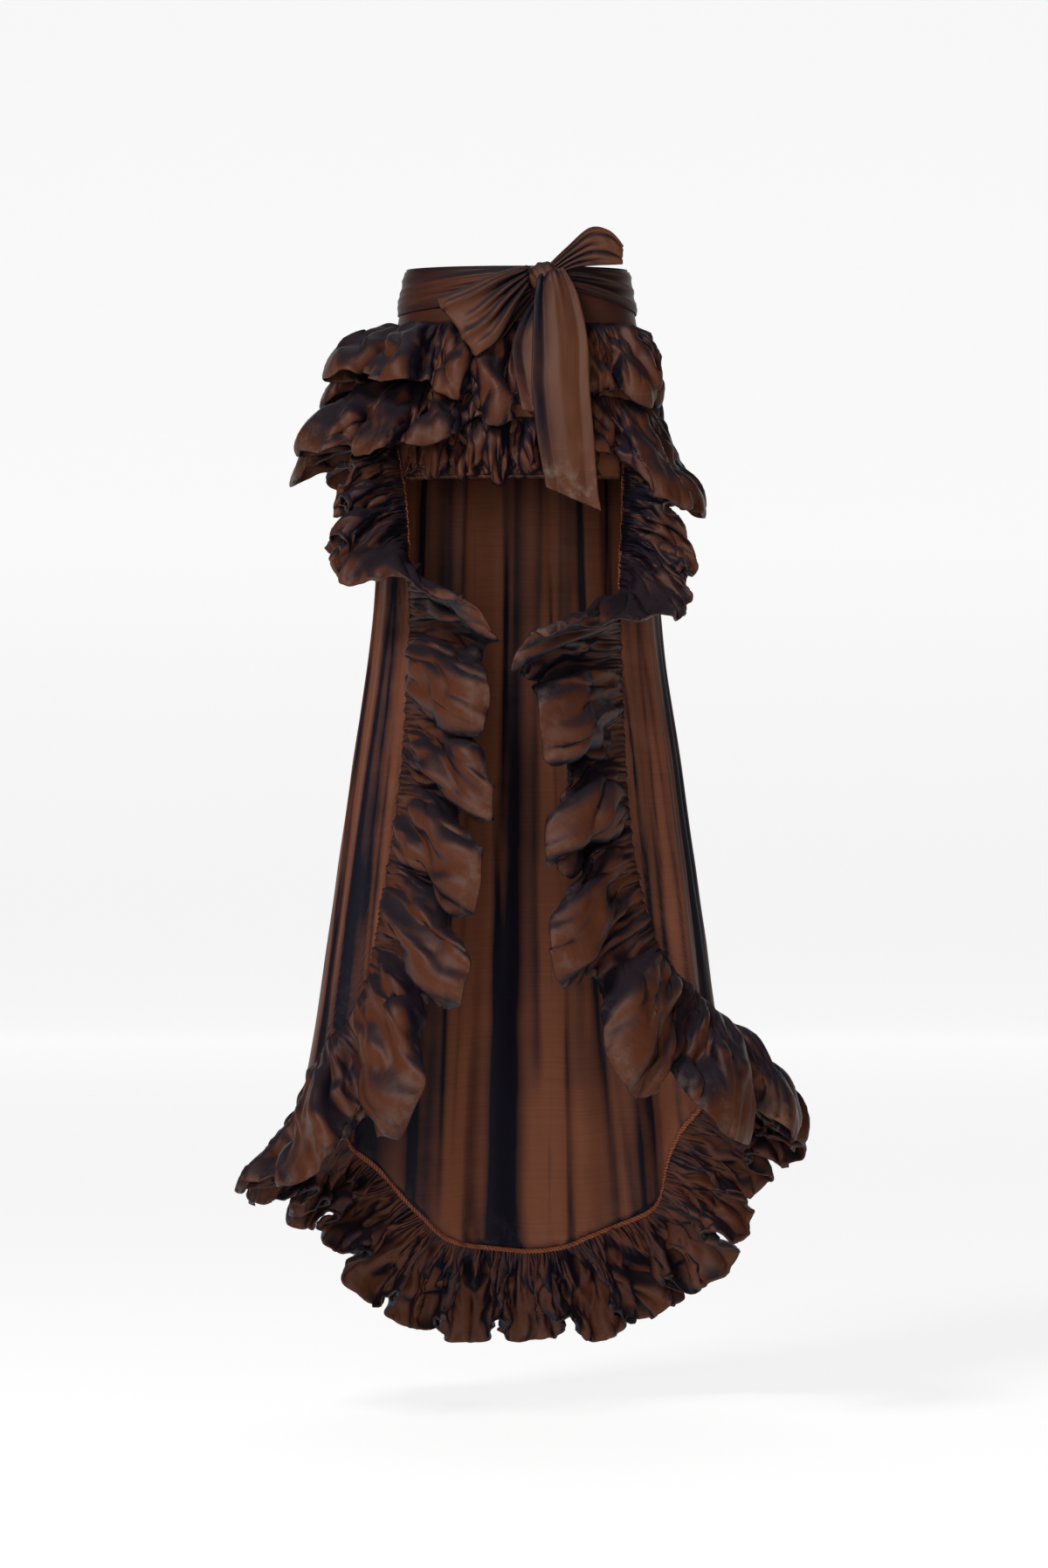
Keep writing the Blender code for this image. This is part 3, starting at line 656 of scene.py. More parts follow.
@dataclass(frozen=True)
class ShotTaffeta:
    """A crisp silk weave of brown and navy threads, mixed by painted shade and a painted sheen."""

    name: str
    # crest is the brown and valley the navy of the painted shade that the tone mixes.
    crest: Colour = (0.074, 0.0216, 0.0094)
    valley: Colour = (0.0058, 0.0050, 0.0100)
    # Paler colour of the painted sheen on faces that point upwards, standing in for light from above.
    top: Colour = (0.0180, 0.0125, 0.0165)
    dust: Colour = (0.17, 0.12, 0.095)
    roughness: float = 0.42
    dust_roughness: float = 0.8
    specular: float = 0.12
    sheen: float = 0.006
    sheen_roughness: float = 0.35
    sheen_tint: Colour = (0.45, 0.52, 0.75)
    ribs: float = 1250.0
    slubs: float = 420.0
    weave_depth: float = 0.00006
    crush_depth: float = 0.0016
    crush_scale: float = 17.0

    def material(self) -> bpy.types.Material:
        """The finish as a material that places the shared groups.

        Returns:
            The new material.
        """
        made, graph, shader = new_material(self.name)
        # The tone and upward-facing attributes carry painted shade and a painted sheen.
        tone, painted_sheen, wear = (
            graph.add("Attribute", {}, attribute_name=name)["Fac"] for name in ("tone", "painted_sheen", "wear")
        )
        counts = {"Ribs per metre": self.ribs, "Slubs per metre": self.slubs}
        weave = graph.add("Group", counts, node_tree=Weave().tree())
        colours = {"Crest": (*self.crest, 1), "Valley": (*self.valley, 1), "Top": (*self.top, 1)}
        lie = {"Tone": tone, "Painted sheen": painted_sheen, "Slubs": weave["Slubs"]}
        shot = graph.add("Group", {**colours, **lie}, node_tree=ShotColourWithPaintedShade().tree())["Colour"]
        mask = graph.add("Group", {"Wear": wear}, node_tree=RubbedDust().tree())["Mask"]
        dusty = {"Factor": mask, "A": shot, "B": (*self.dust, 1)}
        dull = {"To Min": self.roughness, "To Max": self.dust_roughness, "Value": mask}
        threads = graph.add("Bump", {"Distance": self.weave_depth, "Height": weave["Height"]})["Normal"]
        place = graph.add("TexCoord", {})["Object"]
        folds = {"Scale": self.crush_scale, "Detail": 3.0, "Distortion": 0.6, "Vector": place}
        crush = graph.add("TexNoise", folds, noise_type="RIDGED_MULTIFRACTAL")["Fac"]
        soft = {"Distance": self.crush_depth, "Strength": 0.6, "Height": crush, "Normal": threads}
        surface = {
            "Base Color": graph.add("Mix", dusty, data_type="RGBA")["Result"],
            "Roughness": graph.add("MapRange", dull)["Result"],
            "Normal": graph.add("Bump", soft)["Normal"],
            "Sheen Weight": self.sheen,
            "Sheen Roughness": self.sheen_roughness,
            "Sheen Tint": (*self.sheen_tint, 1),
            "Specular IOR Level": self.specular,
        }
        graph.feed(shader, surface)
        return made


@dataclass(frozen=True)
class OverlockThread:
    """Rust-coloured thread looped over a raw edge."""

    colour: Colour = (0.24, 0.062, 0.022)
    shadow: Colour = (0.06, 0.016, 0.010)
    pitch: float = 0.0022
    roughness: float = 0.7
    specular: float = 0.2

    def material(self) -> bpy.types.Material:
        """The finish as a material, with the loops of thread in stripes across the band.

        Returns:
            The new material.
        """
        made, graph, shader = new_material("overlock_thread")
        cut = graph.add("UVMap", {}, uv_map="cut")["UV"]
        stripes = {"Scale": 0.32 / self.pitch, "Distortion": 1.5, "Vector": cut}
        wave = graph.add("TexWave", stripes, bands_direction="DIAGONAL")["Fac"]
        loops = {"Factor": wave, "A": (*self.shadow, 1), "B": (*self.colour, 1)}
        surface = {
            "Base Color": graph.add("Mix", loops, data_type="RGBA")["Result"],
            "Roughness": self.roughness,
            "Specular IOR Level": self.specular,
        }
        graph.feed(shader, surface)
        return made


@dataclass(frozen=True)
class StudioPaper:
    """The matt pale paper of floor and backdrop."""

    colour: Colour = (0.30, 0.30, 0.30)
    roughness: float = 0.9
    glow: float = 0.79

    def material(self) -> bpy.types.Material:
        """The finish as a plain material.

        Returns:
            The new material.
        """
        made, graph, shader = new_material("studio_paper")
        lit = {"Emission Color": (1, 1, 1, 1), "Emission Strength": self.glow}
        graph.feed(shader, {"Base Color": (*self.colour, 1), "Roughness": self.roughness, **lit})
        return made


# ------------------------------------------------------------------- cloth in general
@dataclass(frozen=True)
class Gathers:
    """Small pleats that run out of a gathered seam, each with its own length and lean.

    Fields give the pleats in one wave, the height of the tallest, the share of them that run far,
    the seed of their spread, how tall those are that run far, how much they widen on their way and
    how deep the seam draws in between them.
    """

    per_wave: float
    height: float
    far_share: float
    seed: int
    far_height: float = 0.75
    widening: float = 1.8
    drawn_in: float = 0.45

    def relief(self, wave: Array, share: Array, count: float, ring: bool) -> Array:
        """Heights over a strip.

        Args:
            wave: waves passed at each column.
            share: share of the strip's width at each row.
            count: waves in the whole strip.
            ring: whether the strip is closed.

        Returns:
            Heights in metres, columns by rows.
        """
        rng = np.random.default_rng(self.seed)
        number = int(round(count * self.per_wave))
        at = (np.arange(number) + rng.uniform(-0.3, 0.3, number)) / self.per_wave
        tall = self.height * rng.uniform(0.5, 1.0, number)
        near = rng.uniform(0.15, 0.40, number)
        long = rng.random(number) < self.far_share
        far = np.where(long, rng.uniform(0.45, 1.1, number), near)
        tall = np.where(long, self.far_height * tall, tall)
        lean = rng.uniform(-0.6, 0.6, number) / self.per_wave
        wide = rng.uniform(0.26, 0.42, number) / self.per_wave
        total = np.zeros((len(wave), len(share)))
        begin = ease(share / 0.02 + 0.3)
        for k in range(number):
            away = wave[:, None] - at[k] - lean[k] * share[None, :]
            away = wrapped(away, count) if ring else away
            spread = wide[k] * (1 + self.widening * share)
            fade = tall[k] * begin * ridge(share / far[k], power=2)
            total += fade * ridge(away / spread, power=1.25)
        return total - self.drawn_in * self.height * begin * ridge(share / 0.2, power=2)


@dataclass(frozen=True)
class Crush:
    """The straight-edged facets that a crisp cloth breaks into, of a size, a height and a seed."""

    size: float
    height: float
    seed: int
    layers: int = 6

    def relief(self, u: Array, v: Array) -> Array:
        """Heights over the cloth.

        Args:
            u: metres along the cloth.
            v: metres across it.

        Returns:
            Heights in metres, in the shape of u and v together.
        """
        rng = np.random.default_rng(self.seed)
        u, v = np.broadcast_arrays(u, v)
        total = np.zeros(u.shape)
        for _ in range(self.layers):
            turn = rng.uniform(0, np.pi)
            rate = rng.uniform(0.5, 1.3) / self.size
            phase = rng.uniform(0, 1)
            bend = rng.uniform(0.15, 0.45)
            along = (u * np.cos(turn) + v * np.sin(turn)) * rate + phase
            side = (v * np.cos(turn) - u * np.sin(turn)) * rate
            along = along + bend * np.sin(2.1 * side + 9 * phase)
            tri = 2 * np.abs(along - np.rint(along))
            patch = 0.55 + 0.45 * np.sin(1.7 * side + 0.9 * along + 20 * phase)
            total += patch * (np.sqrt(tri**2 + 0.012) - 0.5)
        return self.height * total / 2.2


@dataclass(frozen=True)
class Facets:
    """Flat panes with straight creases between them, into which crisp gathered cloth breaks.

    Fields give the panes in one wave and across the strip, how far their corners stand off the
    strip, the seed of their spread, and for each layer of panes how many times finer it is and how
    tall.
    """

    per_wave: int
    across: int
    height: float
    seed: int
    layers: tuple[tuple[int, float], ...] = ((1, 1.0), (2, 0.50), (5, 0.09))

    def relief(self, wave: Array, share: Array, count: int) -> Array:
        """Heights over a strip.

        Args:
            wave: waves passed at each point.
            share: share of the strip's width at each point.
            count: waves in the whole strip.

        Returns:
            Heights in metres, in the shape of wave and share together.
        """
        rng = np.random.default_rng(self.seed)
        total = np.zeros(np.broadcast(wave, share).shape)
        for finer, tall in self.layers:
            columns, rows = self.per_wave * finer * count, self.across * finer
            turn = 2 * np.pi * wave
            along = self.per_wave * finer * wave
            along = along + 0.45 * np.sin(5.1 * share + 2 * np.pi * rng.random())
            down = rows * share + 0.35 * np.sin(turn + 2 * np.pi * rng.random())
            down = down + 0.25 * np.sin(3 * turn + 2 * np.pi * rng.random()) + 1
            corners = rng.uniform(-1, 1, (columns, rows + 3))
            turned = rng.random((columns, rows + 3)) < 0.5
            i, j = np.floor(along).astype(int), np.clip(np.floor(down).astype(int), 0, rows + 1)
            f, g = along - i, down - j
            flip = turned[i % columns, j]
            left = np.where(flip, i + 1, i) % columns
            right = np.where(flip, i, i + 1) % columns
            f = np.where(flip, 1 - f, f)
            a, b = corners[left, j], corners[right, j]
            c, d = corners[left, j + 1], corners[right, j + 1]
            near = a + f * (b - a) + g * (c - a)
            far = d + (1 - f) * (c - d) + (1 - g) * (b - d)
            total += tall * np.where(f + g < 1, near, far)
        return self.height * total


def put(name: str, data: bpy.types.ID) -> bpy.types.Object:
    """A new object in the scene, at the origin."""
    made = bpy.data.objects.new(name, data)
    bpy.context.scene.collection.objects.link(made)
    return made


def paint_shade_and_wear(mesh: bpy.types.Mesh, facing: tuple[float, float], wear: Array, shade: Array) -> None:
    """Writes the painted shade and sheen that come from how the cloth faces, and its wear, as the attributes
    that its finish reads.

    Args:
        mesh: the piece's mesh.
        facing: how far a vertex faces outwards or forwards where the navy painted shade and the brown are
            full.
        wear: how rubbed each vertex is.
        shade: the painted shade or highlight added to each vertex's tone.
    """
    count = len(mesh.vertices)
    normals, places = np.empty(3 * count), np.empty(3 * count)
    mesh.vertex_normals.foreach_get("vector", normals)
    mesh.vertices.foreach_get("co", places)
    normals, places = normals.reshape(-1, 3), places.reshape(-1, 3)
    spoke = unit(places * (1, 1, 0))
    # Painted shade: brown where the cloth faces outwards or forwards, navy where it turns away.
    faced = np.maximum(np.abs(normals[:, 1]), np.abs((normals * spoke).sum(-1)))
    low, high = facing
    tone = ease((faced - low) / (high - low)) + shade
    # Painted sheen on faces that point upwards, standing in for light from above.
    values = {"tone": tone, "painted_sheen": ease((normals[:, 2] - 0.25) / 0.6), "wear": wear}
    for name, value in values.items():
        layer = mesh.attributes.new(name, "FLOAT", "POINT")
        layer.data.foreach_set("value", value.astype(np.float32))


@dataclass
class Cloth:
    """A closed wall of cloth round a grid of points, columns along it and rows across it.

    A ring's last column joins its first. A rounded cloth's two layers share their last row, as at
    a fold. Thickness, wear and shade are one value, or one for each point.
    """

    name: str
    points: Array
    thickness: Amount
    ring: bool = False
    rounded: bool = False
    wear: Amount = 0.0
    # How far the cloth faces outwards or forwards where the navy painted shade and the brown are full.
    facing: tuple[float, float] = (0.35, 0.92)
    shade: Amount = 0.0

    def lengths(self) -> tuple[Array, Array]:
        """Metres along and across the cloth, for its UV map.

        Returns:
            Metres along at each column with one more for a ring's end, and across at each point.
        """
        closed = np.concatenate([self.points, self.points[:1]]) if self.ring else self.points
        along = passed(closed[:, self.points.shape[1] // 2])
        down = np.linalg.norm(np.diff(closed, axis=1), axis=-1)
        across = np.concatenate([np.zeros((len(closed), 1)), np.cumsum(down, 1)], 1)
        return along, across

    def faces(self) -> tuple[Array, Array]:
        """The wall's faces.

        Returns:
            Four vertices a face, and four (column, row) pairs a face for the UV map.
        """
        columns, rows = self.points.shape[:2]
        behind = columns * rows
        spans = columns if self.ring else columns - 1

        def front(i: Array, j: Array) -> Array:
            """A vertex of the front layer."""
            return (i % columns) * rows + j

        def back(i: Array, j: Array) -> Array:
            """The vertex behind it."""
            shared = self.rounded & (j == rows - 1)
            return np.where(shared, front(i, j), behind + front(i, j))

        i, j = (a.ravel() for a in np.meshgrid(np.arange(spans), np.arange(rows - 1), indexing="ij"))
        quads = [[(i, j, front), (i + 1, j, front), (i + 1, j + 1, front), (i, j + 1, front)]]
        quads += [[(i, j, back), (i, j + 1, back), (i + 1, j + 1, back), (i + 1, j, back)]]
        i = np.arange(spans)
        j = np.zeros(spans, int)
        quads += [[(i, j, front), (i, j, back), (i + 1, j, back), (i + 1, j, front)]]
        if not self.rounded:
            j = j + rows - 1
            quads += [[(i, j, front), (i + 1, j, front), (i + 1, j, back), (i, j, back)]]
        if not self.ring:
            j = np.arange(rows - 1)
            i = np.zeros(rows - 1, int)
            quads += [[(i, j, front), (i, j + 1, front), (i, j + 1, back), (i, j, back)]]
            i = i + columns - 1
            quads += [[(i, j, front), (i, j, back), (i, j + 1, back), (i, j + 1, front)]]
        corners = [np.stack([f(a, b) for a, b, f in q], -1) for q in quads]
        places = [np.stack([np.stack([a, b], -1) for a, b, _ in q], 1) for q in quads]
        return np.concatenate(corners), np.concatenate(places)

    def make(self, finish: bpy.types.Material) -> bpy.types.Object:
        """Builds the piece.

        Args:
            finish: the cloth's material.

        Returns:
            The new object, at the origin.
        """
        shape = self.points.shape[:2]
        wall = grid_normals(self.points, self.ring) * np.broadcast_to(self.thickness, shape)[..., None] / 2
        both = np.concatenate([self.points + wall, self.points - wall]).reshape(-1, 3)
        corners, places = self.faces()
        used = np.unique(corners)
        renumber = np.zeros(len(both), int)
        renumber[used] = np.arange(len(used))
        mesh = bpy.data.meshes.new(f"{self.name}_cloth")
        mesh.from_pydata(both[used].tolist(), [], renumber[corners].tolist())
        mesh.shade_smooth()
        along, across = self.lengths()
        cut = np.stack([along[places[..., 0]], across[places[..., 0], places[..., 1]]], -1)
        layer = mesh.uv_layers.new(name="cut")
        layer.data.foreach_set("uv", cut.reshape(-1).astype(np.float32))
        spread = (np.broadcast_to(value, shape).ravel() for value in (self.wear, self.shade))
        wear, shade = (np.tile(value, 2)[used] for value in spread)
        paint_shade_and_wear(mesh, self.facing, wear, shade)
        mesh.materials.append(finish)
        return put(mesh.name, mesh)


def join_body(piece: bpy.types.Object) -> None:
    """Puts a piece on the skirt's one body."""
    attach(piece, "root")


@dataclass(frozen=True)
class Sewn:
    """A finished piece's nodes, cut and way of being held."""

    nodes: tuple[str, ...]
    flat: tuple[float, float]
    held: Ways
    rests_on: tuple[str, ...] = ()
    area: Optional[float] = None

    def declare(self, piece: bpy.types.Object) -> None:
        """Puts the piece on the skirt's body, hides its parts in the model and logs its faces.

        Args:
            piece: the finished piece.
        """
        join_body(piece)
        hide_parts(*self.nodes)
        LOG.info("%s: %d faces", piece.name, len(piece.data.polygons))


PANEL_CRUSH = Crush(0.075, 0.0011, 5)
CRUSH_DRAW = 0.6  # facets of the panels are longer downwards by this share
PUCKER_HEIGHT = 0.0008
PUCKER_REACH = 0.022
PUCKER_RATE, PUCKER_SWAY = 420, 61  # radians a metre
PANEL_RADIUS = 0.2  # metres along a panel for one radian, as its small relief is laid out


def panel_relief(angle: Array, drop: Array, away: Array) -> Array:
    """The panels' small folds, facets and the puckers beside the gathered edge.

    Args:
        angle: degrees round the body.
        drop: metres below the waistband's top edge.
        away: metres from the gathered edge.

    Returns:
        Heights in metres.
    """
    along = np.radians(angle) * PANEL_RADIUS
    place = along + drop
    pucker = np.cos(place * PUCKER_RATE + 2 * np.sin(place * PUCKER_SWAY)) * PUCKER_HEIGHT
    crush = PANEL_CRUSH.relief(along, drop * CRUSH_DRAW)
    return fine_depth(angle, drop) + crush + pucker * ridge(away / PUCKER_REACH, power=2)


# ------------------------------------------------------------------ gathered strips
WIDTH_STEPS = 240  # steps across a strip, on which its rows lie
CURL_START = 0.80  # share of the width from which the folded edge rolls under


def profile(
    rise: Array, turn: Array, reach: Array, rows: Array, curl: float
) -> tuple[Array, Array, Array]:
    """A strip's run across its width.

    Args:
        rise: slope at the seam in degrees, a column each.
        turn: slope at the edge.
        reach: width in metres.
        rows: shares of the width.
        curl: degrees by which the folded edge rolls under.

    Returns:
        How far it goes on from the skirt, how far out, and its slope, columns by rows.
    """
    fine = np.linspace(0, 1, WIDTH_STEPS + 1)
    slope = np.radians(rise[:, None] + (turn - rise)[:, None] * fine)
    slope = slope - np.radians(curl) * ease((fine - CURL_START) / (1 - CURL_START))
    middle = (slope[:, 1:] + slope[:, :-1]) / 2
    step = reach[:, None] / WIDTH_STEPS
    start = np.zeros((len(rise), 1))
    onward = np.concatenate([start, np.cumsum(np.cos(middle) * step, 1)], 1)
    out = np.concatenate([start, np.cumsum(np.sin(middle) * step, 1)], 1)
    nearest = np.rint(rows * WIDTH_STEPS).astype(int)
    return onward[:, nearest], out[:, nearest], slope[:, nearest]


@dataclass(frozen=True)
class Strip:
    """A gathered strip that stands off a seam in waves.

    Rows are shares of its width. Ragged is how unevenly its edge is cut by its folds, wander how
    far its crests stray, in radians, and lean and crest_width how they tip over and bulge. Crests
    have crest_gain more relief, and gaps between lobes get painted shade, darker by gap_shade. From
    fold_start the two layers close, and a strip narrower than full_reach is thinner and smoother.
    """

    rows: tuple[float, ...]
    thickness: float
    edge_thickness: float
    gathers: Gathers
    facets: Facets
    creases: Table
    curl: float = 35.0
    ragged: float = 0.040
    wander: float = 0.95
    lean: float = 0.22
    crest_width: float = 0.40
    clearance: float = 0.0015
    crest_gain: float = 0.4
    gap_shade: float = 0.45
    fold_start: float = 0.965
    full_reach: float = 0.09
    unevenness: float = 0.28
    facing: tuple[float, float] = (0.62, 0.97)

    def lay(
        self,
        seam: Array,
        axes: tuple[Array, Array, Array],
        wave: Array,
        sizes: Table,
        count: int,
        free: bool,
    ) -> Array:
        """The strip's middle surface, without its small relief.

        Args:
            seam: points along the seam.
            axes: directions along the seam, out from the body and on from the panel.
            wave: waves passed at each column.
            sizes: rise, turn, reach, swell, sag, dip and droop at each column.
            count: waves in the whole strip.
            free: whether the strip lies clear of what it is sewn to where it turns back.

        Returns:
            Points, columns by rows.
        """
        along, out_axis, onward_axis = axes
        rows = np.array(self.rows)
        drawn_in = sizes["dip"] * (1 - np.cos(2 * np.pi * wave)) / 2
        corners = Facets(2, 2, self.ragged, self.facets.seed + 5)
        ragged = corners.relief(wave, np.zeros(len(wave)), count)
        reach = sizes["reach"] * (1 - drawn_in + ragged)
        onward, out, slope = profile(sizes["rise"], sizes["turn"], reach, rows, self.curl)
        share = rows[None, :]
        swell = sizes["swell"][:, None] * share**1.25
        room = np.maximum(out - self.clearance, 0) * 0.9
        near = np.cos(slope) < 0.35 if free else np.full(slope.shape, True)
        swell = np.where(near, np.minimum(swell, room), swell)
        stray = Facets(1, 2, self.wander, self.facets.seed + 9).relief(wave[:, None], share, count)
        turn = 2 * np.pi * wave[:, None] + stray * ease(share / 0.4)
        crisp = 1 - 2 * (np.sin(turn / 2) ** 2) ** (1 + 0.8 * share)
        height = swell * crisp
        lean = self.lean * np.sin(2 * turn) + self.crest_width * np.sin(turn)
        sideways = sizes["swell"][:, None] * share * lean
        onward = onward - np.sin(slope) * height
        out = out + np.cos(slope) * height
        points = (
            seam[:, None]
            + onward_axis[:, None] * onward[..., None]
            + out_axis[:, None] * out[..., None]
            + along[:, None] * sideways[..., None]
        )
        droop = sizes["droop"][:, None] * (1 + np.cos(turn)) * share**1.5
        points[..., 2] -= sizes["sag"][:, None] * share**2 + droop
        return points

    def crease_relief(self, wave: Array, share: Array, count: int, ring: bool) -> Array:
        """Heights of the long creases that are listed.

        Args:
            wave: waves passed at each column.
            share: share of the strip's width at each row.
            count: waves in the whole strip.
            ring: whether the strip is closed.

        Returns:
            Heights in metres, columns by rows.
        """
        total = np.zeros((len(wave), len(share)))
        for at, start, end, lean, width, height in zip(*self.creases.values()):
            away = wave[:, None] - at - lean * (share[None, :] - start)
            away = wrapped(away, count) if ring else away
            run = between(share, start, end, (0.16, 0.2), early=(0.2, 0.1))
            total += height * run * ridge(away / (width * (0.6 + 0.8 * share)), power=1.2)
        return total

    def cloth(
        self, name: str, points: Array, wave: Array, sizes: Table, count: int, ring: bool, wear: float
    ) -> Cloth:
        """Gives the strip its pleats, creases, facets and folded edge.

        Args:
            name: the piece's name.
            points: its middle surface.
            wave: waves passed at each column.
            sizes: reach at each column, among others.
            count: waves in the whole strip.
            ring: whether it is closed.
            wear: how rubbed its edge is.

        Returns:
            The piece as cloth.
        """
        share = np.array(self.rows)
        reach = np.clip(sizes["reach"] / self.full_reach, 0.35, 1.0)[:, None]
        relief = self.gathers.relief(wave, share, count, ring)
        relief = relief + self.crease_relief(wave, share, count, ring)
        panes = self.facets.relief(wave[:, None], share[None, :], count)
        relief = relief + panes * ease(share / 0.3)[None, :]
        relief = relief * (1 + self.crest_gain * np.cos(np.pi * wave) ** 2)[:, None]
        points = points + grid_normals(points, ring) * (relief * reach)[..., None]
        plump = ease((share - 0.12) / 0.75)
        thick = self.thickness + (self.edge_thickness - self.thickness) * plump
        puff = Facets(4, 4, 1.0, self.facets.seed + 7).relief(wave[:, None], share[None, :], count)
        thick = thick[None, :] * reach**0.5 * (1 + self.unevenness * puff * plump[None, :])
        thick = np.maximum(thick, self.thickness)
        past = np.maximum(share - self.fold_start, 0) / (1 - self.fold_start)
        closing = np.sqrt(np.clip(1 - past**2, 0, 1))
        rubbed = wear * ease((share - 0.80) / 0.2)[None, :]
        # Painted shade in the gaps between lobes.
        gaps = np.abs(np.sin(np.pi * wave))[:, None] ** 8
        walls = thick * closing[None, :]
        return Cloth(name, points, walls, ring, True, rubbed, self.facing, -self.gap_shade * gaps)


# A strip's rows, closer together at the seam and at the folded edge.
SEAM_ROWS = (0, 0.0125, 0.025)
MIDDLE_ROWS = np.linspace(0.046, 0.95, 28)
FOLD_ROWS = (0.967, 0.98, 0.99, 0.996, 1)
ALL_ROWS = np.concatenate([SEAM_ROWS, MIDDLE_ROWS, FOLD_ROWS])
STRIP_ROWS = tuple(np.rint(WIDTH_STEPS * ALL_ROWS) / WIDTH_STEPS)

# Long creases of the edge ruffle: where they start, in waves, how they lean, and their size.
EDGE_CREASES = table("""
at start end lean width height
0.40 0.02 0.70 0.10 0.050 0.0030
1.22 0.00 0.95 -0.12 0.045 0.0050
1.70 0.20 1.10 0.08 0.060 -0.0036
2.35 0.00 1.10 0.16 0.050 0.0056
2.80 0.05 0.80 -0.10 0.040 0.0040
3.18 0.00 1.10 0.14 0.050 0.0058
3.52 0.25 1.10 -0.12 0.055 -0.0044
3.86 0.00 0.75 0.10 0.040 0.0044
4.22 0.10 1.10 -0.08 0.050 0.0060
4.58 0.00 0.90 0.16 0.046 -0.0042
4.91 0.02 1.10 0.04 0.044 0.0052
5.24 0.00 0.70 -0.15 0.040 0.0046
5.66 0.20 1.10 0.10 0.056 0.0056
6.08 0.00 1.10 -0.06 0.044 0.0050
6.37 0.05 0.85 0.14 0.040 -0.0040
6.78 0.00 1.10 -0.12 0.050 0.0058
7.16 0.15 1.10 0.08 0.050 0.0048
7.55 0.00 0.65 -0.16 0.042 0.0048
7.93 0.05 1.10 0.12 0.050 0.0056
8.34 0.00 1.10 -0.10 0.048 -0.0046
8.77 0.10 0.90 0.10 0.044 0.0052
9.19 0.00 1.10 0.06 0.046 0.0054
9.62 0.20 1.10 -0.14 0.056 -0.0042
10.08 0.00 0.85 0.12 0.042 0.0050
10.51 0.05 1.10 -0.08 0.050 0.0056
10.95 0.00 1.10 0.14 0.046 -0.0040
11.41 0.10 1.10 -0.10 0.048 0.0050
11.88 0.00 0.80 0.12 0.042 0.0046
12.31 0.05 1.10 -0.06 0.050 0.0048
12.86 0.00 1.10 0.10 0.044 0.0046
13.30 0.20 1.10 -0.12 0.050 -0.0038
13.74 0.00 0.75 0.14 0.040 0.0046
14.26 0.05 1.10 -0.08 0.046 0.0048
14.70 0.00 1.10 0.06 0.042 -0.0040
15.21 0.10 0.90 -0.12 0.044 0.0046
15.64 0.00 1.10 0.10 0.046 0.0052
16.13 0.05 1.10 -0.10 0.044 -0.0040
16.58 0.00 0.85 0.08 0.042 0.0050
17.05 0.10 1.10 0.12 0.046 0.0046
17.47 0.00 1.10 -0.12 0.044 0.0048
17.96 0.20 1.10 0.10 0.048 -0.0040
18.42 0.00 0.80 -0.10 0.042 0.0050
18.88 0.05 1.10 0.08 0.046 0.0048
19.33 0.00 1.10 -0.12 0.044 -0.0040
19.79 0.10 0.90 0.12 0.044 0.0050
20.27 0.00 1.10 -0.06 0.046 0.0050
20.71 0.05 1.10 0.10 0.044 -0.0038
21.18 0.00 0.85 -0.12 0.042 0.0048
21.66 0.10 1.10 0.10 0.046 0.0052
22.12 0.00 1.10 -0.08 0.044 0.0050
22.57 0.20 1.10 0.12 0.050 -0.0042
23.06 0.00 0.80 -0.10 0.042 0.0050
23.51 0.05 1.10 0.10 0.048 0.0054
23.97 0.00 1.10 -0.12 0.046 -0.0040
24.45 0.10 1.10 0.12 0.048 0.0056
24.93 0.00 0.85 -0.10 0.044 0.0050
25.42 0.05 1.10 0.10 0.050 0.0054
25.90 0.00 1.10 -0.14 0.048 -0.0044
26.38 0.10 0.95 0.12 0.048 0.0056
26.83 0.00 1.10 -0.08 0.050 0.0058
27.31 0.20 1.10 0.12 0.054 -0.0046
27.78 0.00 0.85 -0.12 0.046 0.0054
28.24 0.05 1.10 0.10 0.050 0.0060
28.70 0.00 1.10 -0.10 0.048 -0.0046
29.17 0.10 0.90 0.14 0.048 0.0056
29.63 0.00 1.10 -0.06 0.050 0.0060
30.08 0.15 1.10 0.12 0.052 -0.0044
30.52 0.00 0.80 -0.14 0.046 0.0054
30.97 0.05 1.10 0.08 0.048 0.0056
31.41 0.00 1.10 -0.12 0.048 -0.0044
31.86 0.10 0.90 0.12 0.046 0.0056
32.29 0.00 1.10 -0.10 0.050 0.0058
32.75 0.20 1.10 0.14 0.054 -0.0046
33.18 0.00 0.85 -0.08 0.046 0.0054
33.60 0.05 1.10 0.12 0.048 0.0052
34.10 0.00 1.10 -0.14 0.046 0.0050
34.62 0.10 0.90 0.10 0.050 -0.0036
35.20 0.00 0.90 -0.10 0.046 0.0040
""")

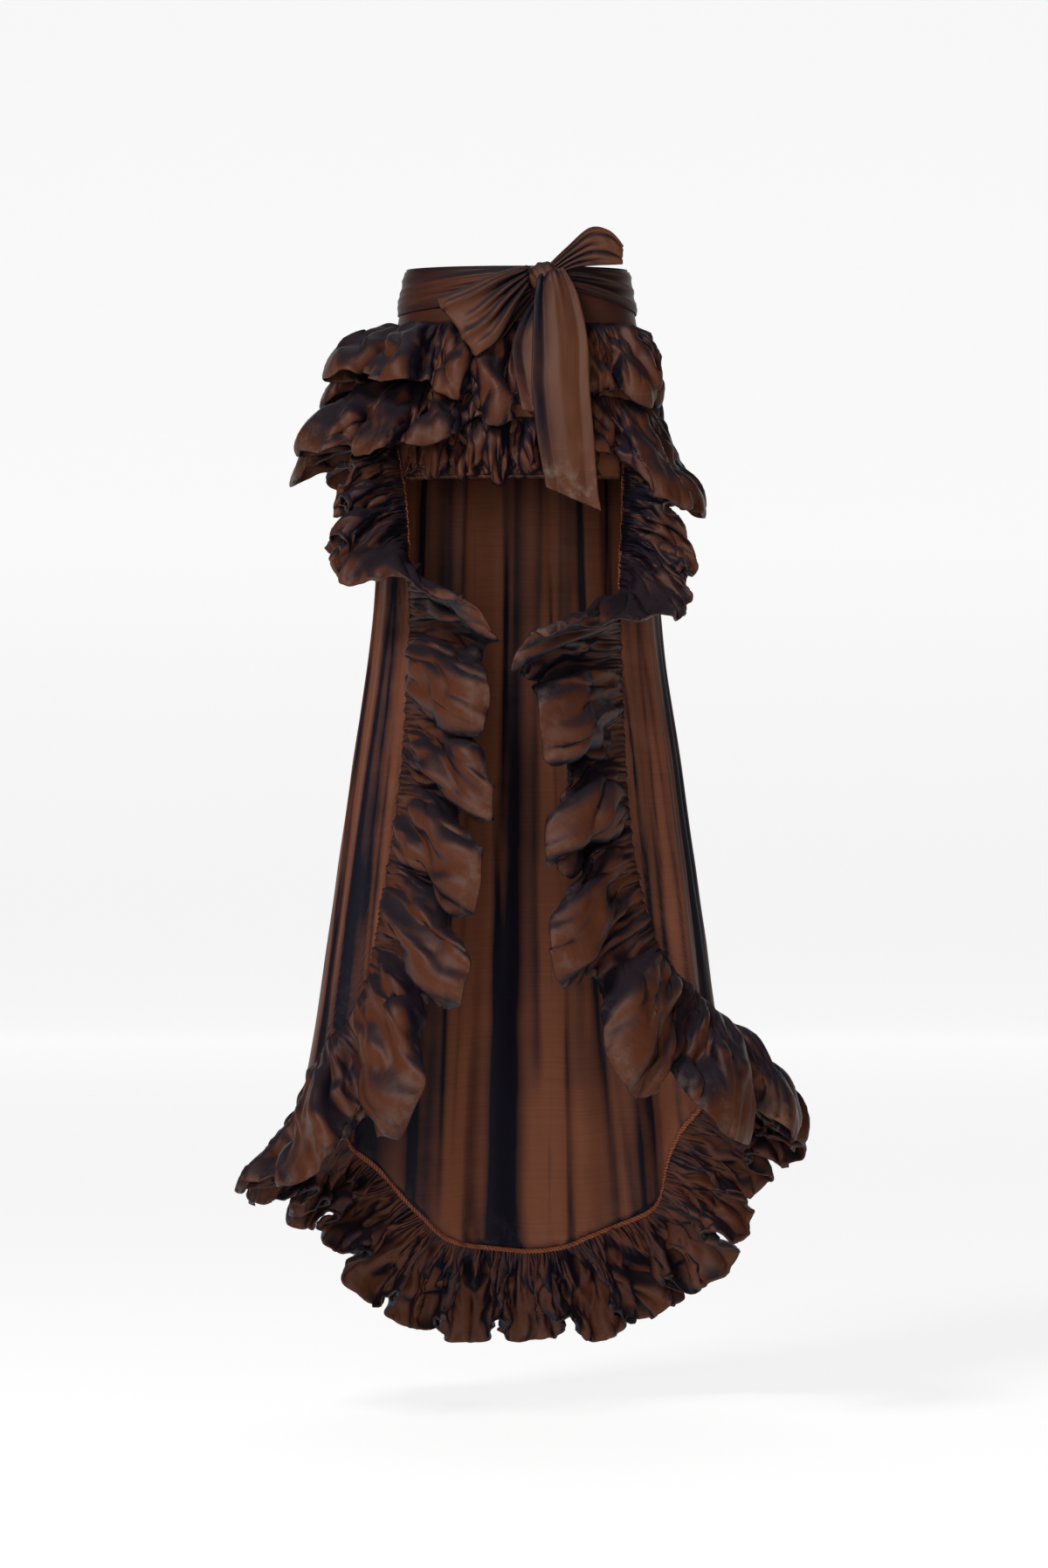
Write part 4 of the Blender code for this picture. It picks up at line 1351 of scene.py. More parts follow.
# The edge ruffle's waves, a row each: where its middle is, in rows of EDGE, its slope in degrees at
# the seam and at the folded edge, its width, how far its lobe swells and sags, and the share by
# which the gap beside it is shorter.
WAVES = table("""
at rise turn reach swell sag dip
0.15 70 120 0.050 0.007 0.004 0.05
0.90 85 150 0.068 0.014 0.016 0.05
1.45 88 146 0.080 0.017 0.030 0.04
2.05 78 96 0.100 0.010 0.052 0.02
2.85 38 -4 0.150 0.016 0.034 0.05
4.00 28 -4 0.124 0.029 0.026 0.13
5.40 26 -8 0.126 0.030 0.030 0.17
6.45 26 -10 0.114 0.031 0.036 0.13
7.50 28 -8 0.120 0.032 0.030 0.17
8.75 28 -6 0.106 0.032 0.042 0.14
10.50 26 14 0.108 0.028 0.026 0.09
12.10 18 36 0.108 0.023 0.008 0.07
13.00 22 30 0.100 0.023 0.002 0.08
13.85 26 22 0.086 0.021 0.000 0.09
14.70 28 14 0.092 0.019 0.000 0.07
15.50 30 8 0.086 0.018 0.000 0.09
16.30 30 6 0.102 0.019 0.000 0.07
17.05 30 6 0.100 0.020 0.000 0.09
17.75 30 4 0.109 0.020 0.000 0.06
18.45 30 4 0.100 0.020 0.000 0.08
19.15 30 6 0.108 0.020 0.000 0.07
19.90 30 8 0.098 0.020 0.000 0.08
20.70 34 8 0.094 0.020 0.000 0.07
21.50 42 8 0.090 0.021 0.000 0.09
22.25 50 8 0.100 0.023 0.002 0.08
23.10 58 8 0.106 0.025 0.004 0.08
24.00 66 4 0.116 0.026 0.006 0.07
25.10 68 0 0.114 0.027 0.012 0.07
26.60 52 4 0.116 0.030 0.022 0.09
28.15 36 0 0.110 0.032 0.034 0.12
29.65 28 -8 0.116 0.033 0.030 0.17
30.90 28 -8 0.106 0.030 0.034 0.30
31.95 30 -2 0.122 0.028 0.026 0.14
33.10 36 -4 0.176 0.016 0.032 0.05
34.00 78 98 0.104 0.010 0.052 0.02
34.75 86 138 0.082 0.016 0.032 0.04
35.60 74 130 0.054 0.009 0.016 0.02
""")

# The waves of the two tiers that go all round; "at" is in degrees.
UPPER_TIER = table("""
at drop rise turn reach swell
352 0.0630 24 4 0.100 0.008
335 0.0630 34 14 0.078 0.012
316 0.0630 72 46 0.080 0.016
292 0.0630 56 44 0.076 0.016
266 0.0630 46 20 0.088 0.017
240 0.0630 46 20 0.090 0.018
216 0.0630 52 14 0.086 0.018
193 0.0630 50 10 0.090 0.018
170 0.0630 52 10 0.086 0.018
147 0.0630 48 10 0.088 0.017
124 0.0630 42 0 0.086 0.014
100 0.0630 34 -20 0.076 0.008
76 0.0630 36 -20 0.074 0.008
52 0.0630 58 -8 0.076 0.013
30 0.0630 34 -4 0.070 0.008
11 0.0630 22 0 0.086 0.007
""")
MIDDLE_TIER = table("""
at drop rise turn reach swell
350 0.1290 26 18 0.033 0.003
332 0.1290 38 34 0.076 0.012
313 0.1240 46 42 0.092 0.017
292 0.1210 48 44 0.100 0.019
267 0.1200 42 30 0.112 0.020
241 0.1240 40 26 0.112 0.020
217 0.1300 40 24 0.106 0.020
194 0.1330 40 22 0.106 0.020
171 0.1350 40 22 0.106 0.020
148 0.1380 36 24 0.108 0.020
124 0.1420 26 22 0.110 0.018
100 0.1450 8 24 0.112 0.013
76 0.1460 10 24 0.112 0.014
52 0.1440 34 22 0.112 0.016
30 0.1380 34 26 0.068 0.007
10 0.1300 26 18 0.033 0.003
""")
# Long creases of both tiers, as those of the edge ruffle.
TIER_CREASES = table("""
at start end lean width height
0.30 0.00 1.10 0.10 0.050 0.0044
0.74 0.10 0.90 -0.12 0.046 -0.0034
1.18 0.00 1.10 0.08 0.050 0.0050
1.62 0.05 1.10 -0.10 0.046 0.0046
2.10 0.00 0.85 0.12 0.046 -0.0036
2.52 0.10 1.10 -0.08 0.050 0.0052
3.04 0.00 1.10 0.10 0.044 0.0046
3.48 0.15 1.10 -0.12 0.050 -0.0038
3.95 0.00 0.90 0.10 0.046 0.0050
4.41 0.05 1.10 -0.06 0.048 0.0046
4.87 0.00 1.10 0.12 0.046 -0.0036
5.35 0.10 0.90 -0.10 0.048 0.0050
5.82 0.00 1.10 0.08 0.046 0.0046
6.28 0.05 1.10 -0.12 0.048 -0.0036
6.75 0.00 0.85 0.10 0.046 0.0048
7.21 0.10 1.10 -0.08 0.048 0.0050
7.70 0.00 1.10 0.12 0.044 -0.0036
8.16 0.05 0.90 -0.10 0.048 0.0048
8.63 0.00 1.10 0.08 0.046 0.0050
9.09 0.10 1.10 -0.12 0.048 -0.0036
9.55 0.00 0.85 0.10 0.046 0.0048
10.02 0.05 1.10 -0.08 0.048 0.0046
10.50 0.00 1.10 0.12 0.044 -0.0034
10.96 0.10 0.90 -0.10 0.046 0.0044
11.42 0.00 1.10 0.08 0.046 0.0044
11.90 0.05 1.10 -0.10 0.046 -0.0034
12.36 0.00 0.85 0.10 0.046 0.0044
12.83 0.10 1.10 -0.08 0.048 0.0048
13.30 0.00 1.10 0.12 0.046 -0.0036
13.76 0.05 0.90 -0.10 0.048 0.0046
14.22 0.00 1.10 0.08 0.046 0.0044
14.70 0.10 1.10 -0.12 0.046 0.0040
15.15 0.00 0.85 0.10 0.046 -0.0034
15.60 0.05 1.10 -0.08 0.048 0.0044
""")


@dataclass
class Overlock:
    """The bound seam inside the long skirt, a narrow band along its free edge."""

    width: float = 0.0052
    thickness: float = 0.0012
    below: float = 0.0012
    loop: float = 0.0030
    loop_height: float = 0.00025
    clearance: float = 0.0002
    turn_step: float = 0.4  # degrees, and metres below, over which the panel's slopes are taken
    drop_step: float = 0.004

    def band(self, name: str, angle: Array, drop: Array, onward: Array) -> Cloth:
        """The band along a line on the panel.

        Args:
            name: the piece's name.
            angle: degrees round the body along the line.
            drop: its drops.
            onward: unit vectors away from the panel, a point each.

        Returns:
            The band as cloth, on the panel's inner side.
        """
        here = body(angle, drop)
        turned = (body(angle + self.turn_step, drop) - here) / self.turn_step
        lower = (body(angle, drop + self.drop_step) - here) / self.drop_step
        angle_rate = (onward * turned).sum(-1) / (turned**2).sum(-1)
        drop_rate = (onward * lower).sum(-1) / (lower**2).sum(-1)
        reach = np.linspace(self.below, self.below - self.width, 4)[None, :]
        angles = angle[:, None] + angle_rate[:, None] * reach
        drops = drop[:, None] + drop_rate[:, None] * reach
        loops = self.loop_height * np.cos(2 * np.pi * passed(here) / self.loop)[:, None]
        level = -self.thickness / 2 - self.clearance - loops
        relief = panel_relief(angles, drops, np.abs(reach))
        return Cloth(name, body(angles, drops, level + relief), self.thickness)

    def build(self, name: str, first: float, last: float, finish: bpy.types.Material) -> bpy.types.Object:
        """Builds the band and puts it on the skirt's body.

        Args:
            name: the piece's name.
            first: where it starts, in rows of EDGE.
            last: where it ends.
            finish: the thread's material.

        Returns:
            The new piece.
        """
        length = passed(body(*edge_at(np.linspace(first, last, 400))))[-1]
        rows = np.linspace(first, last, int(length / self.loop * 3))
        made = self.band(name, *edge_at(rows), edge_axes(rows)[2]).make(finish)
        join_body(made)
        return made


@dataclass
class EdgeRuffle:
    """The ruffle along the long skirt's free edge, pieced in three lengths.

    Between hem_start and hem_end, in waves, it hangs from the hem: there it is shorter by
    hem_shrink, its edge dips less and its lobes droop less.
    """

    columns_per_wave: int = 68
    left_join: float = 12.5
    right_join: float = 25.5
    piece_gap: float = 0.003
    stretch: float = 1.04
    hem_start: float = 9.0
    hem_end: float = 29.0
    hem_shrink: float = 0.05
    deepest_dip: float = 0.30
    tuck: float = 0.0008
    droop: float = 0.016
    full_swell: float = 0.03
    thread_short: float = 0.15
    wear: float = 0.35
    hem_wear: float = 0.25
    strip: Strip = field(
        default_factory=lambda: Strip(
            STRIP_ROWS,
            RUFFLE_CLOTH,
            0.0032,
            Gathers(18.0, 0.0052, 0.40, 3),
            Facets(5, 2, 0.0105, 11),
            EDGE_CREASES,
        )
    )

    def length(self, name: str, start: float, end: float, finish: bpy.types.Material) -> bpy.types.Object:
        """Builds one length of the ruffle.

        Args:
            name: the piece's name.
            start: where it starts, in waves.
            end: where it ends.
            finish: the cloth's material.

        Returns:
            The new piece.
        """
        count = len(WAVES["at"])
        first = start + (self.piece_gap if start > 0 else 0)
        last = end - (self.piece_gap if end < count - 1 else 0)
        wave = np.linspace(first, last, int((end - start) * self.columns_per_wave) + 1)
        row = smooth_row(wave, WAVES, "at")
        axes = edge_axes(row)
        sizes = {key: smooth_row(wave, WAVES, key) for key in WAVES}
        hung = between(wave, self.hem_start, self.hem_end, (4, 4))
        sizes["reach"] = sizes["reach"] * (self.stretch - self.hem_shrink * hung)
        sizes["dip"] = np.minimum(sizes["dip"] * (1.35 - 0.8 * hung), self.deepest_dip)
        sizes["droop"] = self.droop * (1 - 0.75 * hung) * sizes["swell"] / self.full_swell
        angle, drop = edge_at(row)
        seam = body(angle, drop, CLOTH / 2 + panel_relief(angle, drop, 0.0)) - axes[2] * self.tuck
        points = self.strip.lay(seam, axes, wave, sizes, count, True)
        rubbed = self.hem_wear if name == "ruffle_hem" else self.wear
        return self.strip.cloth(name, points, wave, sizes, count, False, rubbed).make(finish)

    def build(self, finish: bpy.types.Material, thread: bpy.types.Material) -> None:
        """Args:
            finish: the cloth's material.
            thread: the overlocking's material.
        """
        last = len(WAVES["at"]) - 1.0
        sides = ("skirt_side_left", "skirt_back"), ("skirt_side_right", "skirt_back")
        pieces = (
            ("ruffle_left", 0.0, self.left_join, sides[0], (0.112, 2.05)),
            ("ruffle_hem", self.left_join, self.right_join, ("skirt_back",), (0.104, 1.90)),
            ("ruffle_right", self.right_join, last, sides[1], (0.116, 1.95)),
        )
        for name, start, end, rests, flat in pieces:
            made = self.length(name, start, end, finish)
            ends = np.array([start + self.thread_short, end - self.thread_short])
            rows = smooth_row(ends, WAVES, "at")
            bound = Overlock().build(name.replace("ruffle", "overlock"), rows[0], rows[1], thread)
            Sewn((name,), flat, Ways.GATHERED, rests).declare(made)


@dataclass
class Tier:
    """A gathered tier all round the body, sewn on by its upper edge.

    It sags where it rises more than flat_rise degrees, and fully where that is sag_span more.
    """

    name: str
    sizes: Table
    flat: tuple[float, float]
    seed: int
    columns_per_wave: int = 52
    stretch: float = 1.04
    sag: float = 0.022
    flat_rise: float = 30.0
    sag_span: float = 40.0
    fullness: float = 1.25
    dip: float = 0.10
    droop_share: float = 0.3
    wear: float = 0.35

    def strip(self) -> Strip:
        """How the tier is gathered and creased."""
        gathers, facets = Gathers(11.0, 0.0044, 0.35, self.seed), Facets(3, 2, 0.0100, self.seed + 1)
        return Strip(STRIP_ROWS, RUFFLE_CLOTH, 0.0040, gathers, facets, TIER_CREASES, ragged=0.11)

    def build(self, finish: bpy.types.Material) -> None:
        """Args:
            finish: the cloth's material.
        """
        count = len(self.sizes["at"])
        turned = np.unwrap(self.sizes["at"], period=360)
        closed = {key: np.concatenate([v[-2:], v, v[:2]]) for key, v in self.sizes.items()}
        closed["at"] = np.concatenate([turned[-2:] + 360, turned, turned[:2] - 360])
        wave = np.arange(count * self.columns_per_wave) / self.columns_per_wave
        sizes = {key: smooth_row(wave + 2, closed, key) for key in closed}
        angle, drop = sizes["at"], sizes["drop"]
        seam = body(angle, drop, ON_PANEL)
        onward_axis = unit(body(angle, drop + 0.01, ON_PANEL) - seam)
        out_axis = square_to(onward_axis, outward(angle, drop))
        along = np.cross(onward_axis, out_axis)
        sizes["reach"] = sizes["reach"] * self.stretch
        sizes["sag"] = self.sag * np.clip((sizes["rise"] - self.flat_rise) / self.sag_span, 0, 1)
        sizes["dip"] = np.full(len(wave), self.dip)
        sizes["swell"] = sizes["swell"] * self.fullness
        sizes["droop"] = self.droop_share * sizes["swell"]
        strip = self.strip()
        points = strip.lay(seam, (along, out_axis, onward_axis), wave, sizes, count, False)
        made = strip.cloth(self.name, points, wave, sizes, count, True, self.wear).make(finish)
        Sewn((self.name,), self.flat, Ways.GATHERED, ("front_panel", "skirt_back")).declare(made)


@dataclass
class PuffTier:
    """The lowest tier, gathered at both edges so that it puffs out between them."""

    flat: tuple[float, float] = (0.078, 0.42)
    top: float = 0.166
    foot: float = 0.228
    lowest: float = 0.252
    end_share: float = 0.4
    columns: int = 330
    rows: int = 45
    wander: float = 0.9
    ragged: float = 0.35
    facets: Facets = Facets(2, 2, 0.0110, 41)
    # Higher than the other tiers', so this tier, lying under them, takes more of the navy painted shade.
    facing: tuple[float, float] = (0.66, 1.02)
    puffs: Table = field(
        default_factory=lambda: table(
            """
            at bulge droop
            313 0.014 0.014
            326 0.019 0.024
            339 0.021 0.018
            352 0.026 0.026
            5 0.024 0.020
            19 0.022 0.027
            32 0.016 0.014
            """
        )
    )

    def gathers(self, wave: Array, share: Array, count: int) -> Array:
        """Heights of the pleats at both edges.

        Args:
            wave: puffs passed at each column, from the tier's end.
            share: share of the tier's width at each row.
            count: puffs in the whole tier.

        Returns:
            Heights in metres, columns by rows.
        """
        upper, lower = (Gathers(6.0, 0.0036, 0.15, seed) for seed in (31, 37))
        return upper.relief(wave, share, count, False) + lower.relief(wave, 1 - share, count, False)

    def build(self, finish: bpy.types.Material) -> None:
        """Args:
            finish: the cloth's material.
        """
        turned = np.unwrap(self.puffs["at"], period=360)
        count = len(turned)
        wave = np.linspace(-self.end_share, count - 1 + self.end_share, self.columns)
        sizes = {key: smooth_row(wave, self.puffs, key) for key in ("bulge", "droop")}
        step = turned[1] - turned[0]
        angle = smooth_row(wave, {"at": turned}, "at")
        angle = np.where(wave < 0, turned[0] + wave * step, angle)
        angle = np.where(wave > count - 1, turned[-1] + (wave - count + 1) * step, angle)
        share = np.linspace(0, 1, self.rows)
        place = wave + self.end_share
        across = place[:, None]
        wander = Facets(2, 2, self.wander, 43).relief(across, share, count + 1)
        crest = 0.62 + 0.38 * np.cos(2 * np.pi * wave[:, None] + wander)
        ragged = Facets(2, 1, self.ragged, 47).relief(across, np.zeros(1), count + 1)
        out = sizes["bulge"][:, None] * crest * np.sin(np.pi * share) ** 0.8
        down = sizes["droop"][:, None] * (crest + ragged) * np.sin(np.pi * share**1.7) ** 2
        drop = np.minimum(self.top + (self.foot - self.top) * share + down, self.lowest)
        points = body(angle[:, None], drop, ON_PANEL + out)
        panes = self.facets.relief(across, share, count + 1) * np.sin(np.pi * share) ** 0.7
        relief = self.gathers(place, share, count) + panes
        points = points + grid_normals(points, False) * relief[..., None]
        made = Cloth("tier_lower", points, RUFFLE_CLOTH, facing=self.facing).make(finish)
        Sewn(("tier_lower",), self.flat, Ways.GATHERED, ("front_panel",)).declare(made)


# ------------------------------------------------------------------------ the panels
@dataclass
class LongSkirt:
    """The short front panel, and the long skirt's back and side panels up to its free edge.

    Angles are those of the side seams and of the side panels' tops. The two seams are rows of
    EDGE, where the side seams meet the free edge, and seam_rows is how far short of them a side
    panel stops.
    """

    left_side: float = 270.0
    right_side: float = 90.0
    left_top: float = 296.0
    right_top: float = 51.0
    left_seam: float = 12.0
    right_seam: float = 25.0
    seam_rows: float = 0.02
    seam_turn: float = 0.05
    foot: float = 0.232
    tier_top: float = 0.15
    # Painted light: tone lifts every panel, hem_shade darkens it towards the hem, and left_shade and
    # right_shade are painted shade on the side panels.
    tone: float = 0.10
    hem_shade: float = 0.28
    left_shade: float = 0.14
    right_shade: float = 0.20
    wear: float = 0.12
    facing: tuple[float, float] = (0.70, 0.975)

    def panel(
        self,
        sewn: Sewn,
        places: tuple[Array, Array, Array],
        finish: bpy.types.Material,
        shaded: float = 0.0,
    ) -> None:
        """Builds and declares one panel.

        Args:
            sewn: what it says of itself, its name first.
            places: angle, drop and distance from the gathered edge at each point.
            finish: the cloth's material.
            shaded: how much painted shade darkens it.
        """
        angle, drop, away = places
        points = body(angle, drop, CLOTH / 2 + panel_relief(angle, drop, away))
        wear = self.wear * ease(1 - away / 0.06)
        # Painted shade and highlight of the bands and streaks, painted light brighter at the top and darker
        # towards the hem, and the panel's own painted shade.
        shade = shade_bands(angle, drop) + self.tone - self.hem_shade * drop / HEM_DROP - shaded
        cloth = Cloth(sewn.nodes[0], points, CLOTH, wear=wear, facing=self.facing, shade=shade)
        sewn.declare(cloth.make(finish))

    def side(self, rows: Array, top_angle: float, side_angle: float) -> tuple[Array, Array, Array]:
        """Places over a side panel, from its free edge to its side seam.

        Args:
            rows: places along the free edge, in rows of EDGE.
            top_angle: where the free edge starts at the waistband.
            side_angle: where the side seam is.

        Returns:
            Angles, drops and distances from the free edge, columns by rows.
        """
        angle, drop = edge_at(rows)
        upper = np.linspace(PANEL_TOP, drop[0], 14)[:-1]
        angle = np.concatenate([np.full(len(upper), top_angle), angle])
        drop = np.concatenate([upper, drop])
        radius = smooth(drop, BODY["drop"], BODY["half_width"])
        inset = np.degrees(SEAM_GAP / 2 / radius) * np.sign(angle - side_angle)
        share = np.linspace(0, 1, 50)[:, None]
        turned = angle + (side_angle + inset - angle) * share
        away = np.radians(np.abs(turned - angle)) * radius
        return turned, np.broadcast_to(drop[None, :], turned.shape), away

    def back(self) -> tuple[Array, Array, Array]:
        """Places over the back panel.

        Returns:
            Angles, drops and distances from the hem, columns by rows.
        """
        angle, drop = edge_at(np.linspace(self.left_seam, self.right_seam, 220))
        angle[0], angle[-1] = self.left_side - self.seam_turn, self.right_side + self.seam_turn
        drops = PANEL_TOP + (drop[:, None] - PANEL_TOP) * np.linspace(0, 1, 84)[None, :]
        return np.broadcast_to(angle[:, None], drops.shape), drops, drop[:, None] - drops

    def front(self) -> tuple[Array, Array, Array]:
        """Places over the short front panel, which stands clear of the ruffles beside its foot.

        Returns:
            Angles, drops and distances from its foot, columns by rows.
        """
        share = np.linspace(0, 1, 70)[:, None]
        drops = np.linspace(PANEL_TOP, self.foot, 34)[None, :]
        radius = smooth(drops, BODY["drop"], BODY["half_width"])
        gap = np.where(drops > self.tier_top, 2 * SEAM_GAP + 2 * RUFFLE_CLOTH, SEAM_GAP)
        inset = np.degrees((gap + CLOTH / 2) / radius)
        left = np.interp(drops, EDGE["drop"][:3], EDGE["angle"][:3]) - 360
        right = np.interp(drops, EDGE["drop"][:-3:-1], EDGE["angle"][:-3:-1])
        angles = left + inset + (right - left - 2 * inset) * share
        drops = np.broadcast_to(drops, angles.shape)
        return angles, drops, drops[:, -1:] - drops

    def build(self, finish: bpy.types.Material) -> None:
        """Args:
            finish: the cloth's material.
        """
        hangs = Ways.HUNG, ("waistband",)
        last = len(EDGE["angle"]) - 1
        rows = np.linspace(0, self.left_seam - self.seam_rows, 100)
        sewn = Sewn(("skirt_side_left",), (0.26, 0.84), *hangs, 0.082)
        self.panel(sewn, self.side(rows, self.left_top, self.left_side), finish, self.left_shade)
        rows = np.linspace(last, self.right_seam + self.seam_rows, 100)
        sewn = Sewn(("skirt_side_right",), (0.26, 0.80), *hangs, 0.082)
        self.panel(sewn, self.side(rows, self.right_top, self.right_side), finish, self.right_shade)
        self.panel(Sewn(("skirt_back",), (0.92, 1.04), *hangs, 0.62), self.back(), finish)
        self.panel(Sewn(("front_panel",), (0.29, 0.175), *hangs), self.front(), finish)


# ----------------------------------------------------------------- waist, sash and bow
# Drops of the sash's two edges, and the height of its lengthwise pleats.
SASH = table("""
angle top foot pleat
25 0.004 0.024 0.0030
40 0.003 0.031 0.0034
62 0.003 0.040 0.0030
90 0.003 0.047 0.0024
140 0.004 0.050 0.0022
180 0.004 0.050 0.0022
220 0.004 0.050 0.0022
270 0.003 0.049 0.0024
300 0.003 0.047 0.0030
325 0.003 0.042 0.0036
350 0.003 0.033 0.0036
366 0.004 0.026 0.0030
""")

# Folds of the sash: where each lies across it at the two ends of its run, and how high it is.
SASH_FOLDS = table("""
start end share_start share_end width height
18 130 0.22 0.60 0.090 0.0040
18 110 0.56 1.00 0.085 0.0036
18 78 0.90 1.30 0.080 0.0032
40 200 0.04 0.26 0.070 0.0030
70 260 0.78 0.58 0.080 0.0028
120 300 0.42 0.14 0.070 0.0026
190 374 0.96 0.26 0.095 0.0044
250 374 0.56 0.08 0.070 0.0036
262 374 0.84 0.52 0.080 0.0040
290 374 1.16 0.76 0.085 0.0042
318 374 1.30 0.96 0.070 0.0034
""")


@dataclass
class Waist:
    """The waistband and the sash that goes round it, from sash_start to sash_end degrees."""

    band_shade: float = -0.35
    sash_start: float = 26.0
    sash_end: float = 367.5
    sash_facing: tuple[float, float] = (0.55, 0.99)
    pleats: int = 2
    pleat_share: float = 0.35
    fold_height: float = 0.0034
    fold_highlight: float = 0.62
    sash_shade: float = 0.66

    def lift(self, angles: Array) -> Array:
        """How much higher the waistband's top edge is than at the front."""
        return BAND_LIFT * (1 - np.cos(np.radians(angles))) / 2

    def band(self, finish: bpy.types.Material) -> None:
        """Args:
            finish: the cloth's material.
        """
        angles = np.arange(0, 360, 1.5)[:, None]
        share = np.linspace(0, 1, 16)[None, :]
        ripple = Crush(0.06, 0.0004, 51).relief(np.sin(np.radians(angles)) * 0.2, share * 0.06)
        grid = body(angles, BAND_DEPTH * share, CLOTH / 2 + ripple)
        grid[..., 2] += self.lift(angles) * (1 - share)
        made = Cloth("waistband", grid, BAND_CLOTH, ring=True, shade=self.band_shade).make(finish)
        Sewn(("waistband",), (0.062, 0.72), Ways.STRETCHED, ("skirt_back",)).declare(made)

    def sash_relief(self, angles: Array, share: Array) -> Array:
        """The sash's pleats and folds, highest beside the knot.

        Args:
            angles: degrees round the body at each column.
            share: share of the sash's width at each row.

        Returns:
            Heights in metres, columns by rows.
        """
        pleat = smooth(angles, SASH["angle"], SASH["pleat"])
        relief = self.pleat_share * pleat * (1 - np.cos(2 * np.pi * self.pleats * share)) / 2
        for start, end, first, last, width, height in zip(*SASH_FOLDS.values()):
            run = np.clip((angles - start) / (end - start), 0, 1)
            middle = first + (last - first) * run
            fade = between(angles, start, end, (25, 25), early=(0.2, 0.2))
            relief = relief + height * fade * ridge((share - middle) / width, power=1.4)
        return relief * (0.45 + 0.75 * np.cos(np.radians(angles - 15)) ** 2)

    def sash(self, finish: bpy.types.Material) -> None:
        """Args:
            finish: the cloth's material.
        """
        angles = np.linspace(self.sash_start, self.sash_end, 300)[:, None]
        share = np.linspace(0, 1, 38)[None, :]
        top, foot = (smooth(angles, SASH["angle"], SASH[key]) for key in ("top", "foot"))
        drop = top + (foot - top) * share
        relief = self.sash_relief(angles, share)
        # The folds' tops get a painted highlight and their troughs navy painted shade.
        shade = self.fold_highlight * np.clip(relief / self.fold_height, 0, 1.5) - self.sash_shade
        grid = body(angles, drop, (CLOTH + BAND_CLOTH + SASH_CLOTH) / 2 + SEAM_GAP + relief)
        grid[..., 2] += self.lift(angles) * (1 - drop / BAND_DEPTH)
        made = Cloth("sash_wrap", grid, SASH_CLOTH, facing=self.sash_facing, shade=shade).make(finish)
        Sewn(("sash_wrap",), (0.054, 0.76), Ways.FOLDED, ("waistband",)).declare(made)

    def build(self, finish: bpy.types.Material) -> None:
        """Builds and declares both."""
        self.band(finish)
        self.sash(finish)


# Sections of the bow's strips, from one edge at 0 to the other at 1.
LONG_TAIL = table("""
x0 y0 z0 x1 y1 z1
0.0240 -0.1165 -0.0120 0.0500 -0.1140 -0.0030
0.0215 -0.1215 -0.0200 0.0560 -0.1180 -0.0130
0.0180 -0.1240 -0.0450 0.0670 -0.1200 -0.0370
0.0165 -0.1370 -0.0900 0.0765 -0.1330 -0.0850
0.0160 -0.1480 -0.1350 0.0785 -0.1430 -0.1350
0.0220 -0.1520 -0.1900 0.0830 -0.1480 -0.1900
0.0290 -0.1500 -0.2300 0.0870 -0.1480 -0.2450
0.0310 -0.1490 -0.2430 0.0910 -0.1470 -0.2690
""")
SHORT_TAIL = table("""
x0 y0 z0 x1 y1 z1
0.0220 -0.1020 -0.0325 0.0420 -0.1020 -0.0325
0.0060 -0.1140 -0.0560 0.0480 -0.1130 -0.0560
-0.0050 -0.1280 -0.0900 0.0440 -0.1250 -0.0900
-0.0010 -0.1400 -0.1250 0.0480 -0.1350 -0.1250
0.0060 -0.1430 -0.1600 0.0540 -0.1390 -0.1660
""")
LEFT_LOOP = table("""
x0 y0 z0 x1 y1 z1
0.0110 -0.1090 -0.0010 0.0120 -0.1110 -0.0210
-0.0200 -0.1200 -0.0100 -0.0020 -0.1280 -0.0500
-0.0560 -0.1280 -0.0260 -0.0200 -0.1400 -0.0840
-0.0800 -0.1300 -0.0360 -0.0390 -0.1450 -0.0990
-0.0850 -0.1250 -0.0385 -0.0440 -0.1420 -0.1020
-0.0790 -0.1200 -0.0380 -0.0390 -0.1370 -0.0990
-0.0480 -0.1150 -0.0310 -0.0200 -0.1290 -0.0860
-0.0150 -0.1060 -0.0250 0.0020 -0.1180 -0.0560
0.0120 -0.1010 -0.0190 0.0190 -0.1050 -0.0330
""")
UPPER_LOOP = table("""
x0 y0 z0 x1 y1 z1
0.0350 -0.1120 0.0000 0.0500 -0.1100 -0.0075
0.0540 -0.1150 0.0180 0.0650 -0.1130 -0.0025
0.0790 -0.1160 0.0390 0.0840 -0.1150 -0.0010
0.1010 -0.1140 0.0355 0.1020 -0.1130 -0.0005
0.1150 -0.1080 0.0205 0.1135 -0.1070 0.0000
0.1010 -0.1020 0.0335 0.1010 -0.1015 0.0000
0.0790 -0.1000 0.0360 0.0840 -0.1000 -0.0005
0.0550 -0.1000 0.0170 0.0660 -0.1000 -0.0025
0.0370 -0.1010 0.0000 0.0500 -0.0990 -0.0070
""")

# Pleats along the bow's strips: where they lie across them, how they lean, how far they run.
LOOP_PLEATS = table("""
share lean reach width height
0.06 -0.02 0.95 0.050 0.0028
0.20 -0.06 1.10 0.065 0.0056
0.31 -0.02 0.55 0.030 -0.0030
0.42 0.05 0.80 0.055 0.0050
0.52 0.02 0.50 0.028 -0.0034
0.62 0.07 1.10 0.070 0.0060
0.75 -0.02 0.60 0.030 -0.0032
0.86 0.04 0.90 0.060 0.0048
0.97 0.00 0.95 0.040 0.0024
""")
TAIL_PLEATS = table("""
share lean reach width height
0.10 0.04 0.45 0.050 0.0024
0.20 0.04 1.40 0.110 -0.0034
0.44 0.10 1.40 0.150 0.0022
0.60 0.06 0.50 0.060 0.0022
0.74 -0.04 0.32 0.040 -0.0018
0.88 -0.10 1.40 0.100 -0.0024
""")


